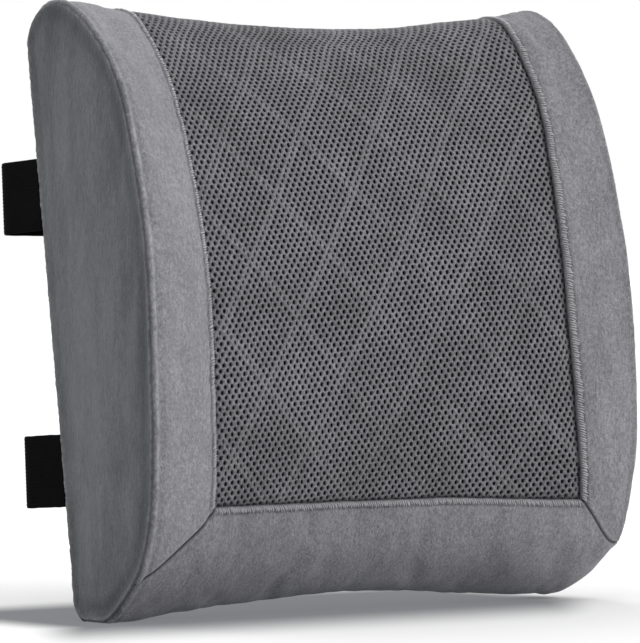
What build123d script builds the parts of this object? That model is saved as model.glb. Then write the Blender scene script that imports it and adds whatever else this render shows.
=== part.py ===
from build123d import *
import math
import os

# Lumbar support cushion: memory foam block in a liner and a zipped cover,
# with a mesh front, velour borders, velour sides and back, and two buckled
# webbing loops behind it that hold it to a chair back.
# Millimetres. +X runs along the cushion's width, +Y to its back, +Z up.
# The origin is on the surface it stands on, under the middle of its box.

# ------------------------------------------------------------------ driving dimensions
half_width = 165.0          # half the overall width, to the side faces
mesh_half = 122.8           # half the width of the mesh panel
mesh_bottom = 60.0          # height of the mesh panel's lower seam
lean_deg = 8.24             # the flat back leans this far back when it stands
y_shift = -5.34             # puts the box centre over the origin

cover_t = 1.8               # cover cloth
liner_gap = 2.6             # depth of the liner's outer face
liner_t = 0.8
foam_gap = 4.2              # depth of the foam's surface

strap_w = 38.0              # webbing width
strap_t = 2.0               # webbing thickness
strap_droop_deg = 3.5       # the loops point a little down behind the back
strap_run = 42.8            # the cross run's middle plane, behind the back
strap_r = 14.0              # bend of the webbing at the sides
strap_heights = {"upper": 221.6, "lower": 77.6}

zip_height = 150.0          # the zipper runs across the middle of the back
zip_travel_from = 135.0
zip_travel = 270.0

# ------------------------------------------------------------------ side profile
# Points (y, z) from the front edge of the base, up the front, over the top,
# to the upper end of the flat back.
front_pts = [
    (-25.5, -0.2), (-30.5, 1.8), (-39.3, 8.3), (-48.2, 16.6), (-57.2, 27.5), (-62.2, 38.5),
    (-65.8, 50.9), (-68.0, 66.0), (-68.9, 85.2), (-68.8, 104.0), (-68.0, 124.5),
    (-66.3, 160.0), (-63.4, 192.1), (-59.1, 215.0), (-55.6, 229.0),
    (-50.1, 248.3), (-44.8, 265.3), (-39.2, 278.2), (-32.2, 289.2),
    (-23.4, 299.2), (-12.8, 308.9), (-1.0, 317.0), (11.3, 321.9),
    (22.0, 322.4), (31.0, 319.4), (38.0, 313.8), (41.9, 308.0),
]
base_front = (-22.0, -0.4)
base_back = (-9.0, -0.4)
back_low = (1.3, 8.0)
back_high = (43.4, 302.5)   # the flat back ends here

# How far the cover is drawn in at the mesh seam and at the middle, along the
# profile's normal, against height up the front (mm).
draw_z = [0.0, 20.0, 60.0, 103.0, 140.0, 171.0, 197.0, 229.0, 256.0, 272.0, 287.0, 299.0, 309.0, 317.0, 330.0]
draw_seam = [2.6, 2.2, 2.3, 3.0, 3.0, 4.0, 6.0, 7.8, 9.4, 10.6, 9.8, 8.3, 6.5, 4.6, 4.0]
draw_mid = [9.5, 9.6, 10.0, 10.6, 11.0, 11.3, 12.0, 13.0, 14.0, 14.0, 13.6, 13.0, 12.0, 11.2, 11.0]

lean = math.radians(lean_deg)
back_dir = (math.sin(lean), math.cos(lean))        # up the back, in (y, z)


def interp(x, xs, ys):
    if x <= xs[0]:
        return ys[0]
    for i in range(1, len(xs)):
        if x <= xs[i]:
            f = (x - xs[i - 1]) / (xs[i] - xs[i - 1])
            return ys[i - 1] + f * (ys[i] - ys[i - 1])
    return ys[-1]


def drawn(z, x, zmul=1.0):
    """Inward draw at height z of the side profile and at width x."""
    a, m = interp(z, draw_z, draw_mid), interp(z, draw_z, draw_seam)
    s, q = (x / half_width) ** 2, (mesh_half / half_width) ** 2
    # a * (1 + k s - (1 + k) s^2) passes through a, m and 0
    k = (m / a - 1 + q * q) / (q - q * q)
    return a * (1 + k * s - (1 + k) * s * s)


def section(x, inset):
    """The profile's key points at width x, moved in by inset: base line, back line and front curve."""
    rise = drawn(0.0, x)
    full = [base_front] + front_pts + [back_high]
    moved = []
    for i in range(1, len(full) - 1):
        (y0, z0), (y1, z1), (y2, z2) = full[i - 1], full[i], full[i + 1]
        ty, tz = y2 - y0, z2 - z0
        n = math.hypot(ty, tz)
        ny, nz = -tz / n, ty / n                   # towards the inside
        if ny * (-15.0 - y1) + nz * (160.0 - z1) < 0:
            ny, nz = -ny, -nz
        # over the top the cover is drawn down along the back, at the base straight up
        w = min(1.0, max(0.0, (y1 + 12.8) / 24.0)) if z1 > 150 else 0.0
        v = min(1.0, max(0.0, (17.0 - z1) / 17.0))
        dy = (1 - w) * (1 - v) * ny - w * back_dir[0]
        dz = (1 - w) * (1 - v) * nz - w * back_dir[1] + v
        m = math.hypot(dy, dz)
        d = drawn(z1, x)
        moved.append((y1 + ny * inset + dy / m * d, z1 + nz * inset + dz / m * d))
    bf = (base_front[0] + inset * 0.15, base_front[1] + rise + inset)
    bb = (base_back[0] - inset * 0.6, base_back[1] + rise + inset)
    # the back stays in one plane, moved in by inset along its normal
    ox, oz = -inset * math.cos(lean), inset * math.sin(lean)
    bl = (back_low[0] + back_dir[0] * (rise + 0.8 * inset) + ox, back_low[1] + back_dir[1] * (rise + 0.8 * inset) + oz)
    drop = drawn(325.0, x) + 0.9 * inset
    bh = (back_low[0] + back_dir[0] * (297.5 - drop) + ox, back_low[1] + back_dir[1] * (297.5 - drop) + oz)
    return bf, bb, bl, bh, moved


def body(inset):
    """The cushion's closed form, moved in by inset on every side."""
    end = half_width - inset
    stations = [-end, -146.0, -mesh_half, -62.0, 0.0, 62.0, mesh_half, 146.0, end]
    with BuildPart() as made:
        for x in stations:
            bf, bb, bl, bh, front = section(x, inset)
            at = Plane(origin=(x, 0, 0), x_dir=(0, 1, 0), z_dir=(1, 0, 0))
            sh = lambda p: (p[0] + y_shift, p[1])
            with BuildSketch(at):
                with BuildLine():
                    Line(sh(bf), sh(bb))
                    Spline(sh(bb), sh(bl), tangents=[(1, 0), back_dir])
                    Line(sh(bl), sh(bh))
                    Spline(*[sh(p) for p in [bh] + front[::-1] + [bf]])
                make_face()
        loft()
    return made.part


def at_back(z, depth=0.0):
    """Point on the back's plane at height z, moved out by depth along its normal."""
    t = (z - back_low[1]) / back_dir[1]
    y = back_low[0] + back_dir[0] * t
    return (0.0, y + y_shift + depth * math.cos(lean), z - depth * math.sin(lean))


back_plane_y = at_back(zip_height)
skin_outer = body(0.0)
skin_inner = body(cover_t)

# ------------------------------------------------------------------ cutting tools
far = 400.0
back_out = Plane(origin=at_back(zip_height, -cover_t), x_dir=(-1, 0, 0), z_dir=(0, math.cos(lean), -math.sin(lean)))
back_face = Plane(origin=at_back(zip_height), x_dir=(-1, 0, 0), z_dir=(0, math.cos(lean), -math.sin(lean)))
mitre_low = 3.0
front_frame = Plane(origin=(0, 0, 0), x_dir=(1, 0, 0), z_dir=(0, -1, 0))

with BuildPart() as cover_skin:
    add(skin_outer)
    add(skin_inner, mode=Mode.SUBTRACT)
    # the base is flat where the cushion stands on its two lower corners
    with BuildSketch(Plane.XY):
        Rectangle(2 * far, 2 * far)
    extrude(amount=-20, mode=Mode.SUBTRACT)
    # the back is flat, where it lies against a chair
    with BuildSketch(back_face.offset(-0.05)):
        Rectangle(2 * far, 2 * far)
    extrude(amount=30, mode=Mode.SUBTRACT)

# ------------------------------------------------------------------ foam and liner
with BuildPart() as foam_core:
    add(body(foam_gap))
foam_core.part.label = "foam_core"

with BuildPart() as inner_liner:
    add(body(liner_gap))
    add(body(liner_gap + liner_t), mode=Mode.SUBTRACT)
inner_liner.part.label = "inner_liner"

# ------------------------------------------------------------------ side gussets
gussets = {}
for side, sx in (("left", -1), ("right", 1)):
    with BuildPart() as gusset:
        add(cover_skin.part)
        with BuildSketch(Plane.YZ.offset(sx * (half_width - cover_t + 5.0))):
            Rectangle(2 * far, 2 * far)
        extrude(amount=5.0, both=True, mode=Mode.INTERSECT)
    gussets[side] = gusset.part

gusset_left = gussets["left"]
gusset_left.label = "gusset_left"
gusset_right = gussets["right"]
gusset_right.label = "gusset_right"

inner_half = half_width - cover_t

# ------------------------------------------------------------------ the wrap without its ends, front part
with BuildPart() as front_wrap:
    add(cover_skin.part)
    with BuildSketch(Plane.YZ):
        Rectangle(2 * far, 2 * far)
    extrude(amount=inner_half, both=True, mode=Mode.INTERSECT)
    with BuildSketch(back_out):
        Rectangle(2 * far, 2 * far)
    extrude(amount=far, mode=Mode.SUBTRACT)

# panels of the front, split straight across and along the two mitres
mitre = [(mesh_half, mesh_bottom), (half_width + 3.0, mitre_low - 4.0)]
with BuildPart() as mesh_front_panel:
    add(front_wrap.part)
    with BuildSketch(front_frame):
        with Locations((0, mesh_bottom + 200)):
            Rectangle(2 * mesh_half, 400)
    extrude(amount=far, both=True, mode=Mode.INTERSECT)
mesh_front_panel.part.label = "mesh_front_panel"

borders = {}
for side, sx in (("left", -1), ("right", 1)):
    with BuildPart() as border:
        add(front_wrap.part)
        with BuildSketch(front_frame):
            with BuildLine():
                Polyline(
                    (sx * mesh_half, mesh_bottom), (sx * mesh_half, 400), (sx * 300, 400),
                    (sx * 300, mitre[1][1]), (sx * mitre[1][0], mitre[1][1]), close=True,
                )
            make_face()
        extrude(amount=far, both=True, mode=Mode.INTERSECT)
    borders[side] = border.part.solids().sort_by(SortBy.VOLUME)[-1]
border_left = borders["left"]
border_left.label = "border_left"
border_right = borders["right"]
border_right.label = "border_right"

with BuildPart() as border_bottom:
    add(front_wrap.part)
    with BuildSketch(front_frame):
        with BuildLine():
            Polyline(
                (-mesh_half, mesh_bottom), (mesh_half, mesh_bottom), (mitre[1][0], mitre[1][1]),
                (mitre[1][0], -60), (-mitre[1][0], -60), (-mitre[1][0], mitre[1][1]), close=True,
            )
        make_face()
    extrude(amount=far, both=True, mode=Mode.INTERSECT)
border_bottom.part.label = "border_bottom"

# ------------------------------------------------------------------ back panels, each side of the zipper slot
slot_half = 6.0
backs = {}
for name, lo, hi in (("upper", slot_half, 250.0), ("lower", -250.0, -slot_half)):
    with BuildPart() as back:
        add(cover_skin.part)
        with BuildSketch(Plane.YZ):
            Rectangle(2 * far, 2 * far)
        extrude(amount=inner_half, both=True, mode=Mode.INTERSECT)
        with BuildSketch(back_out):
            with Locations((0, (lo + hi) / 2)):
                Rectangle(2 * far, hi - lo)
        extrude(amount=30.0, mode=Mode.INTERSECT)
    backs[name] = back.part
back_panel_upper = backs["upper"]
back_panel_upper.label = "back_panel_upper"
back_panel_lower = backs["lower"]
back_panel_lower.label = "back_panel_lower"

# ------------------------------------------------------------------ zipper, in the plane of the back (local x runs to -X, y up, z out)
tape_t = 0.6
tape_out = -cover_t - 0.05          # the tape lies under the panels' edges
tapes = {}
coils = {}
for name, sgn in (("upper", 1), ("lower", -1)):
    with BuildPart() as tape:
        with BuildSketch(back_face.offset(tape_out - tape_t)):
            with Locations((0, sgn * 8.7)):
                Rectangle(2 * inner_half - 6.0, 14.6)
        extrude(amount=tape_t)
    tapes[name] = tape.part
    with BuildPart() as coil:
        with BuildSketch(back_face.offset(tape_out + 0.02)):
            with Locations((0, sgn * 1.55)):
                Rectangle(2 * (zip_travel_from + 13.0), 2.9)
        extrude(amount=1.3)
    coils[name] = coil.part
zipper_tape_upper = tapes["upper"]
zipper_tape_upper.label = "zipper_tape_upper"
zipper_tape_lower = tapes["lower"]
zipper_tape_lower.label = "zipper_tape_lower"
zipper_coil_upper = coils["upper"]
zipper_coil_upper.label = "zipper_coil_upper"
zipper_coil_lower = coils["lower"]
zipper_coil_lower.label = "zipper_coil_lower"

# small metal stops across the coils at each end
with BuildPart() as zipper_end_stops:
    with BuildSketch(back_face.offset(tape_out + 1.36)):
        with Locations((zip_travel_from + 10.0, 0), (-zip_travel_from - 10.0, 0)):
            Rectangle(3.0, 6.6)
    extrude(amount=0.7)
zipper_end_stops.part.label = "zipper_end_stops"

# slider: a shell over the coils, with an arched bridge that holds the pull
sl = -zip_travel_from               # local x of the slider at rest (it stands at +X)
slider_base = tape_out + 1.36 + 0.3
with BuildPart() as zipper_slider:
    with BuildSketch(back_face.offset(slider_base)):
        with Locations((sl, 0)):
            SlotOverall(11.0, 8.6)
    extrude(amount=1.1)
    # side flanges beside the coils
    with BuildSketch(back_face.offset(tape_out + 0.3)):
        with Locations((sl, 3.75), (sl, -3.75)):
            Rectangle(7.0, 0.9)
    extrude(amount=slider_base - tape_out)
bridge_low = slider_base + 1.1
bridge_plane = Plane(
    origin=(-sl, back_face.origin.Y, back_face.origin.Z), x_dir=(-1, 0, 0),
    z_dir=(0, -math.sin(lean), -math.cos(lean)),
)
with BuildPart() as bridge:
    # local x to -X, local y out of the back
    with BuildSketch(bridge_plane):
        with Locations((0, bridge_low + 1.6)):
            RectangleRounded(8.2, 4.0, 1.4)
            RectangleRounded(5.8, 2.5, 0.9, mode=Mode.SUBTRACT)
        with Locations((0, bridge_low - 0.5)):
            Rectangle(12, 1.0, mode=Mode.SUBTRACT)
    extrude(amount=1.1, both=True)
with BuildPart() as slider_whole:
    add(zipper_slider.part)
    add(bridge.part)
zipper_slider = slider_whole
zipper_slider.part.label = "zipper_slider"

# pull: cross bar under the bridge, two arms and a tab that lies towards the middle
pin_out = bridge_low + 1.55
pull_frame = back_face.offset(pin_out - 0.6)
with BuildPart() as zipper_pull:
    with BuildSketch(pull_frame):
        with Locations((sl + 9.3, 0)):
            RectangleRounded(20.0, 6.4, 1.6)
        with Locations((sl + 2.6, 0)):
            RectangleRounded(4.6, 3.6, 0.6, mode=Mode.SUBTRACT)
        with Locations((sl + 14.5, 0)):
            SlotOverall(6.0, 2.4, mode=Mode.SUBTRACT)
    extrude(amount=1.2)
zipper_pull.part.label = "zipper_pull"

# ------------------------------------------------------------------ straps and buckles
droop = math.radians(strap_droop_deg)
bv = strap_run - 3.0                # buckle's middle plane
socket_bar_u = -31.0
plug_bar_u = 27.0
made = {}

for level, zc in strap_heights.items():
    root = at_back(zc)
    # local x to +X, local y out behind, local z up the strap's width
    flat = Plane(origin=root, x_dir=(1, 0, 0), z_dir=(0, math.sin(droop), math.cos(droop)))
    edge = half_width - strap_t / 2 + 0.25      # just outside the back panels, over the side seam

    # webbing sewn into each side seam, round the side bend, along the back
    # and round the bar of its buckle half; the end is folded back and sewn
    for side, sx, bar, tail in (("left", -1, socket_bar_u, 24.0), ("right", 1, plug_bar_u, 62.0)):
        d = sx
        with BuildPart() as web:
            with BuildSketch(flat):
                with BuildLine():
                    l1 = Line((d * edge, -6.0), (d * edge, strap_run - strap_r))
                    l2 = TangentArc(l1 @ 1, (d * (edge - strap_r), strap_run), tangent=l1 % 1)
                    l3 = Line(l2 @ 1, (bar, strap_run))
                    l4 = TangentArc(l3 @ 1, (bar, bv - 3.0), tangent=l3 % 1)
                    l5 = Line(l4 @ 1, (bar + d * 5.0, bv - 3.0))
                    l6 = Spline(l5 @ 1, (bar + d * 17.0, strap_run - 2.3), tangents=[(d, 0), (d, 0)])
                    l7 = Line(l6 @ 1, (bar + d * (17.0 + tail), strap_run - 2.3))
                trace(line_width=strap_t)
            extrude(amount=strap_w / 2, both=True)
            # the root end stops at the back's face
            with BuildSketch(back_face.offset(0.25)):
                Rectangle(2 * far, 2 * far)
            extrude(amount=-30.0, mode=Mode.SUBTRACT)
        made[f"{level}_strap_{side}"] = web.part

    # bartack stitches across the folded ends, and at the roots
    with BuildPart() as tacks:
        with BuildSketch(flat.offset(-strap_w / 2 + 3.0)):
            with Locations(
                (socket_bar_u - 22.0, strap_run + strap_t / 2 + 0.2), (socket_bar_u - 36.0, strap_run + strap_t / 2 + 0.2),
            ):
                Rectangle(2.4, 0.4)
        extrude(amount=strap_w - 6.0)
    made[f"{level}_strap_bartacks"] = tacks.part

    # socket half: a flat box open at its mouth, windows at both edges, webbing bar at its tail
    across = Plane(origin=flat.origin, x_dir=flat.x_dir, z_dir=flat.z_dir)
    bw, bt = 24.0, 5.6
    with BuildPart() as socket:
        with BuildSketch(Plane(origin=flat.from_local_coords(Vector(0, bv, 0)), x_dir=(1, 0, 0), z_dir=flat.y_dir)):
            # local x to +X, local y down the strap's width, z out
            with Locations((-12.0, 0)):
                RectangleRounded(44.0, 2 * bw, 5.0)
        extrude(amount=bt, both=True)
        # inside, from the mouth
        with BuildSketch(Plane(origin=flat.from_local_coords(Vector(0, bv, 0)), x_dir=(1, 0, 0), z_dir=flat.y_dir)):
            with Locations((-3.0, 0)):
                Rectangle(36.0, 2 * 21.0)
        extrude(amount=3.4, both=True, mode=Mode.SUBTRACT)
        # windows for the prongs' shoulders
        with BuildSketch(Plane(origin=flat.from_local_coords(Vector(0, bv, 0)), x_dir=(1, 0, 0), z_dir=flat.y_dir)):
            with Locations((-9.0, bw), (-9.0, -bw)):
                Rectangle(19.0, 10.0)
        extrude(amount=3.4, both=True, mode=Mode.SUBTRACT)
        # webbing slot behind the bar
        with BuildSketch(Plane(origin=flat.from_local_coords(Vector(0, bv, 0)), x_dir=(1, 0, 0), z_dir=flat.y_dir)):
            with Locations((-34.75, 0)):
                Rectangle(20.5, strap_w + 1.4)
        extrude(amount=bt + 1, both=True, mode=Mode.SUBTRACT)
        with BuildSketch(flat.offset(-bw + 1.0)):
            with Locations((socket_bar_u + 0.0, bv)):
                Circle(1.6)
        extrude(amount=2 * bw - 2.0)
    made[f"{level}_buckle_socket"] = socket.part

    # plug half: a bridge with the webbing bar, and a centre guide tongue
    mid = Plane(origin=flat.from_local_coords(Vector(0, bv, 0)), x_dir=(1, 0, 0), z_dir=flat.y_dir)
    with BuildPart() as plug:
        with BuildSketch(mid):
            with Locations((20.6, 0)):
                RectangleRounded(20.0, 2 * bw, 4.0)
        extrude(amount=4.4, both=True)
        with BuildSketch(mid):
            with Locations((32.2, 0)):
                Rectangle(25.6, strap_w + 1.4)
        extrude(amount=bt + 1, both=True, mode=Mode.SUBTRACT)
        with BuildSketch(mid):
            with Locations((-3.0, 0)):
                RectangleRounded(30.0, 9.0, 3.0)
        extrude(amount=2.4, both=True)
        with BuildSketch(flat.offset(-bw + 1.0)):
            with Locations((plug_bar_u, bv)):
                Circle(1.6)
        extrude(amount=2 * bw - 2.0)
    made[f"{level}_buckle_plug"] = plug.part

    # two prongs that flex at their roots, one near each edge
    for where, sw in (("high", -1), ("low", 1)):
        with BuildPart() as prong:
            with BuildSketch(mid):
                with BuildLine():
                    Polyline(
                        (9.8, sw * 18.4), (9.8, sw * 14.2), (-16.0, sw * 13.2), (-18.4, sw * 15.6),
                        (-17.0, sw * 18.6), (-13.5, sw * 20.4), (-5.0, sw * 20.4), (-4.0, sw * 16.8), close=True,
                    )
                make_face()
            extrude(amount=2.6, both=True)
        made[f"{level}_buckle_prong_{where}"] = prong.part

    # keeper: a flat loop that slides on the folded webbing
    keep_u = plug_bar_u + 53.0
    with BuildPart() as keeper:
        side_plane = Plane(origin=flat.from_local_coords(Vector(keep_u, strap_run - 1.15, 0)), x_dir=(0, math.sin(droop), math.cos(droop)), z_dir=(1, 0, 0))
        with BuildSketch(side_plane):
            RectangleRounded(strap_w + 5.0, 9.3, 2.2)
            RectangleRounded(strap_w + 1.0, 5.3, 0.8, mode=Mode.SUBTRACT)
        extrude(amount=5.5, both=True)
    made[f"{level}_strap_keeper"] = keeper.part

# ------------------------------------------------------------------ write
os.makedirs("parts", exist_ok=True)
named = {
    "foam_core": foam_core.part,
    "inner_liner": inner_liner.part,
    "mesh_front_panel": mesh_front_panel.part,
    "border_left": border_left,
    "border_right": border_right,
    "border_bottom": border_bottom.part,
    "gusset_left": gusset_left,
    "gusset_right": gusset_right,
    "back_panel_upper": back_panel_upper,
    "back_panel_lower": back_panel_lower,
    "zipper_tape_upper": zipper_tape_upper,
    "zipper_tape_lower": zipper_tape_lower,
    "zipper_coil_upper": zipper_coil_upper,
    "zipper_coil_lower": zipper_coil_lower,
    "zipper_end_stops": zipper_end_stops.part,
    "zipper_slider": zipper_slider.part,
    "zipper_pull": zipper_pull.part,
}
named.update(made)
for name, part in named.items():
    part.label = name
    export_step(part, f"parts/{name}.step")
    b = part.bounding_box()
    print(f"{name:26s} solids {len(part.solids())} vol {part.volume:10.1f}  x {b.min.X:7.1f} {b.max.X:7.1f}  y {b.min.Y:7.1f} {b.max.Y:7.1f}  z {b.min.Z:7.1f} {b.max.Z:7.1f}")
everything = Compound(children=list(named.values()))
bb = everything.bounding_box()
print("box", bb.min, bb.max, "centre", (bb.min + bb.max) / 2)
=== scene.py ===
import math
import bpy
import numpy as np
from mathutils import Matrix, Vector


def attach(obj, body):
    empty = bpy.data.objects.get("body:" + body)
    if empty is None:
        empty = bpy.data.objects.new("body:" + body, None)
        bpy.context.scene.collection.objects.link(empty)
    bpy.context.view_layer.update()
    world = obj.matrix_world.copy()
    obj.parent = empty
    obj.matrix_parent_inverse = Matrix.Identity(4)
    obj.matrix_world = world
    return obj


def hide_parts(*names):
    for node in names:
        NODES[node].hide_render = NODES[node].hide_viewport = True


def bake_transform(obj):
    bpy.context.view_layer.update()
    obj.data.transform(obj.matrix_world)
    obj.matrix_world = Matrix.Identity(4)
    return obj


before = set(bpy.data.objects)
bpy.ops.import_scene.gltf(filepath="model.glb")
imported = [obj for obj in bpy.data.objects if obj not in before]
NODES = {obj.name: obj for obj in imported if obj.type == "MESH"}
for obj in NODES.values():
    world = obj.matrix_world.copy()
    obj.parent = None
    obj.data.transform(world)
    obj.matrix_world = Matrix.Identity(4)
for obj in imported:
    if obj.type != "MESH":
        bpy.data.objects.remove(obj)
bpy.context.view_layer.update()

SC = bpy.context.scene

# ------------------------------------------------------------------ camera
cam_data = bpy.data.cameras.new("camera")
cam = bpy.data.objects.new("camera", cam_data)
SC.collection.objects.link(cam)
cam_data.sensor_width = 36.0
cam_data.sensor_fit = "AUTO"
cam_data.lens = 5194.319 / 643.0 * 36.0
cam_data.clip_start = 0.1
cam_data.clip_end = 60.0
_f = Vector((0.618, 0.786, -0.0143)).normalized()
_r = _f.cross(Vector((0, 0, 1))).normalized()
_u = _r.cross(_f)
_m = Matrix((_r, _u, -_f)).transposed().to_4x4()
_m.translation = Vector((-1.732084, -2.204380, 0.194065))
cam.matrix_world = _m
SC.camera = cam

# ------------------------------------------------------------------ the cover's surface (millimetres)
YS = -5.34
HW = 165.0
MH = 122.8


def cspline(t, p, tt):
    """Natural cubic spline through p(t), evaluated at tt."""
    t = np.asarray(t, float)
    p = np.asarray(p, float)
    n = len(t)
    h = np.diff(t)
    A = np.zeros((n, n))
    B = np.zeros((n,) + p.shape[1:])
    A[0, 0] = A[-1, -1] = 1
    for i in range(1, n - 1):
        A[i, i - 1] = h[i - 1]
        A[i, i] = 2 * (h[i - 1] + h[i])
        A[i, i + 1] = h[i]
        B[i] = 6 * ((p[i + 1] - p[i]) / h[i] - (p[i] - p[i - 1]) / h[i - 1])
    M = np.linalg.solve(A, B)
    k = np.clip(np.searchsorted(t, tt) - 1, 0, n - 2)
    a = (t[k + 1] - tt)
    b = (tt - t[k])
    hh = h[k]
    if p.ndim == 2:
        a, b, hh = a[:, None], b[:, None], hh[:, None]
    return M[k] * a ** 3 / (6 * hh) + M[k + 1] * b ** 3 / (6 * hh) + (p[k] / hh - M[k] * hh / 6) * a + (p[k + 1] / hh - M[k + 1] * hh / 6) * b


FRONT = np.array([(-9.0, -0.2), (-15.0, -0.25), (-21.0, -0.2), (-25.5, 0.0), (-30.5, 1.9), (-39.3, 8.3), (-48.2, 16.6), (-57.2, 27.5), (-62.2, 38.5),
                  (-65.8, 50.9), (-68.0, 66.0), (-68.9, 85.2), (-68.8, 104.0), (-68.0, 124.5),
                  (-66.3, 160.0), (-63.4, 192.1), (-59.1, 215.0), (-55.6, 229.0),
                  (-50.1, 248.3), (-44.8, 265.3), (-39.2, 278.2), (-32.2, 289.2),
                  (-23.4, 299.2), (-12.8, 308.9), (-1.0, 317.0), (11.3, 321.9),
                  (22.0, 322.4), (31.0, 319.4), (38.0, 313.8), (41.9, 308.0), (43.4, 302.5)])
_s = np.r_[0, np.cumsum(np.linalg.norm(np.diff(FRONT, axis=0), axis=1))]
C = cspline(_s, FRONT, np.linspace(0, _s[-1], 900))
L = np.r_[0, np.cumsum(np.linalg.norm(np.diff(C, axis=0), axis=1))]
T = np.linspace(0, L[-1], 1000)
C = np.stack([np.interp(T, L, C[:, 0]), np.interp(T, L, C[:, 1])], 1)
LEAN = math.radians(8.24)
BD = np.array([math.sin(LEAN), math.cos(LEAN)])
dC = np.gradient(C, T, axis=0)
dC /= np.linalg.norm(dC, axis=1)[:, None]
NI = np.stack([dC[:, 1], -dC[:, 0]], 1)
draw_z = [0.0, 20.0, 60.0, 103.0, 140.0, 171.0, 197.0, 229.0, 256.0, 272.0, 287.0, 299.0, 309.0, 317.0, 330.0]
draw_seam = [2.6, 2.2, 2.3, 3.0, 3.0, 4.0, 6.0, 7.8, 9.4, 10.6, 9.8, 8.3, 6.5, 4.6, 4.0]
draw_mid = [9.5, 9.6, 10.0, 10.6, 11.0, 11.3, 12.0, 13.0, 14.0, 14.0, 13.6, 13.0, 12.0, 11.2, 11.0]
zz = C[:, 1].copy()
_i = int(np.argmax(zz))
zz[_i:] = zz[_i]


def smooth(a, n):
    k = np.hanning(n)
    k /= k.sum()
    return np.convolve(np.pad(a, (n // 2, n // 2), mode="edge"), k, "valid")[:len(a)]


ds = smooth(np.interp(zz, draw_z, draw_seam), 61)
dm = smooth(np.interp(zz, draw_z, draw_mid), 61)
_w = np.clip((C[:, 0] + 12.8) / 24, 0, 1) * (C[:, 1] > 150)
_v = np.clip((17 - C[:, 1]) / 17, 0, 1) * (C[:, 1] < 150)
_w = _w * _w * (3 - 2 * _w)
_v = _v * _v * (3 - 2 * _v)
DD = (1 - _w)[:, None] * (1 - _v)[:, None] * NI - _w[:, None] * BD[None] + _v[:, None] * np.array([[0, 1.0]])
DD /= np.linalg.norm(DD, axis=1)[:, None]
Q = (MH / HW) ** 2
KK = (ds / dm - 1 + Q * Q) / (Q - Q * Q)
TT_END = float(T[-1])


def base(t, x):
    """t: arc length on the side profile from the base's rear edge, x: width -> xyz in mm."""
    t = np.asarray(t, float)
    x = np.asarray(x, float)
    g = lambda a: np.interp(t, T, a)
    cy, cz, ddy, ddz, m, k = g(C[:, 0]), g(C[:, 1]), g(DD[:, 0]), g(DD[:, 1]), g(dm), g(KK)
    sx = np.clip(np.abs(x) / HW, 0, 1) ** 2
    D = m * (1 + k * sx - (1 + k) * sx * sx)
    return np.stack([x + 0 * t, cy + ddy * D + YS, cz + ddz * D], -1)


def normal(t, x):
    e = 0.6
    a = base(t + e, x) - base(t - e, x)
    b = base(t, np.clip(x + e, -HW, HW)) - base(t, np.clip(x - e, -HW, HW))
    n = np.cross(b, a)
    n /= np.linalg.norm(n, axis=-1)[..., None] + 1e-12
    return n


# the line where the front panels meet the bottom border, in t against |x|
_tt = np.linspace(30, 360, 1200)


def t_at_z(z, x):
    p = base(_tt, np.full_like(_tt, x))
    return float(_tt[np.argmin(np.abs(p[:, 2] - z))])


_xs = np.linspace(0, HW, 34)
_t60 = np.array([t_at_z(60.0, v) for v in _xs])


def t60(x):
    return np.interp(np.abs(x), _xs, _t60) - 3.4 * sstep(30.0, MH, x)


MITRE = np.array([(MH, t_at_z(60, MH)), (129.8, 83.8), (141.3, 73.8), (152.3, 63.4), (161.7, 54.4), (HW, 50.0)])


# ------------------------------------------------------------------ noise and helpers
def hash_noise(seed):
    r = np.random.default_rng(seed)
    return r.random((256, 256))


_tables = {}


def noise2(u, v, seed=1):
    """Smooth value noise in [-1, 1]."""
    if seed not in _tables:
        _tables[seed] = hash_noise(seed)
    g = _tables[seed]
    u = np.asarray(u, float)
    v = np.asarray(v, float)
    iu, iv = np.floor(u).astype(int), np.floor(v).astype(int)
    fu, fv = u - iu, v - iv
    fu = fu * fu * (3 - 2 * fu)
    fv = fv * fv * (3 - 2 * fv)
    a = g[iu % 256, iv % 256]
    b = g[(iu + 1) % 256, iv % 256]
    c = g[iu % 256, (iv + 1) % 256]
    d = g[(iu + 1) % 256, (iv + 1) % 256]
    return 2 * ((a * (1 - fu) + b * fu) * (1 - fv) + (c * (1 - fu) + d * fu) * fv) - 1


def sstep(a, b, x):
    q = np.clip((x - a) / (b - a), 0, 1)
    return q * q * (3 - 2 * q)


PIECES = {}


def mesh_piece(name, verts_mm, faces, smooth_shade=True, attrs=None):
    """A mesh object from points in millimetres."""
    me = bpy.data.meshes.new(name)
    v = np.asarray(verts_mm, float).reshape(-1, 3) / 1000.0
    faces = faces if isinstance(faces, list) else np.asarray(faces).tolist()
    me.from_pydata(v.tolist(), [], faces)
    if smooth_shade:
        me.polygons.foreach_set("use_smooth", np.ones(len(me.polygons), bool))
    for key, val in (attrs or {}).items():
        at = me.attributes.new(key, "FLOAT", "POINT")
        at.data.foreach_set("value", np.asarray(val, np.float32).ravel())
    me.update()
    ob = bpy.data.objects.new(name, me)
    SC.collection.objects.link(ob)
    PIECES[name] = ob
    return ob


def grid_faces(nr, nc, flip=False):
    i, j = np.meshgrid(np.arange(nr - 1), np.arange(nc - 1), indexing="ij")
    a = i * nc + j
    q = np.stack([a, a + 1, a + nc + 1, a + nc], -1).reshape(-1, 4)
    return q[:, ::-1] if flip else q


def done(ob, body, slot, mat, *nodes):
    ob.data.materials.clear()
    ob.data.materials.append(mat)
    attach(ob, body)
    if nodes:
        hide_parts(*nodes)
    return ob


# ------------------------------------------------------------------ materials
def new_mat(name):
    m = bpy.data.materials.new(name)
    m.use_nodes = True
    nt = m.node_tree
    nt.nodes.clear()
    out = nt.nodes.new("ShaderNodeOutputMaterial")
    b = nt.nodes.new("ShaderNodeBsdfPrincipled")
    nt.links.new(b.outputs[0], out.inputs[0])
    return m, nt, b


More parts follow.
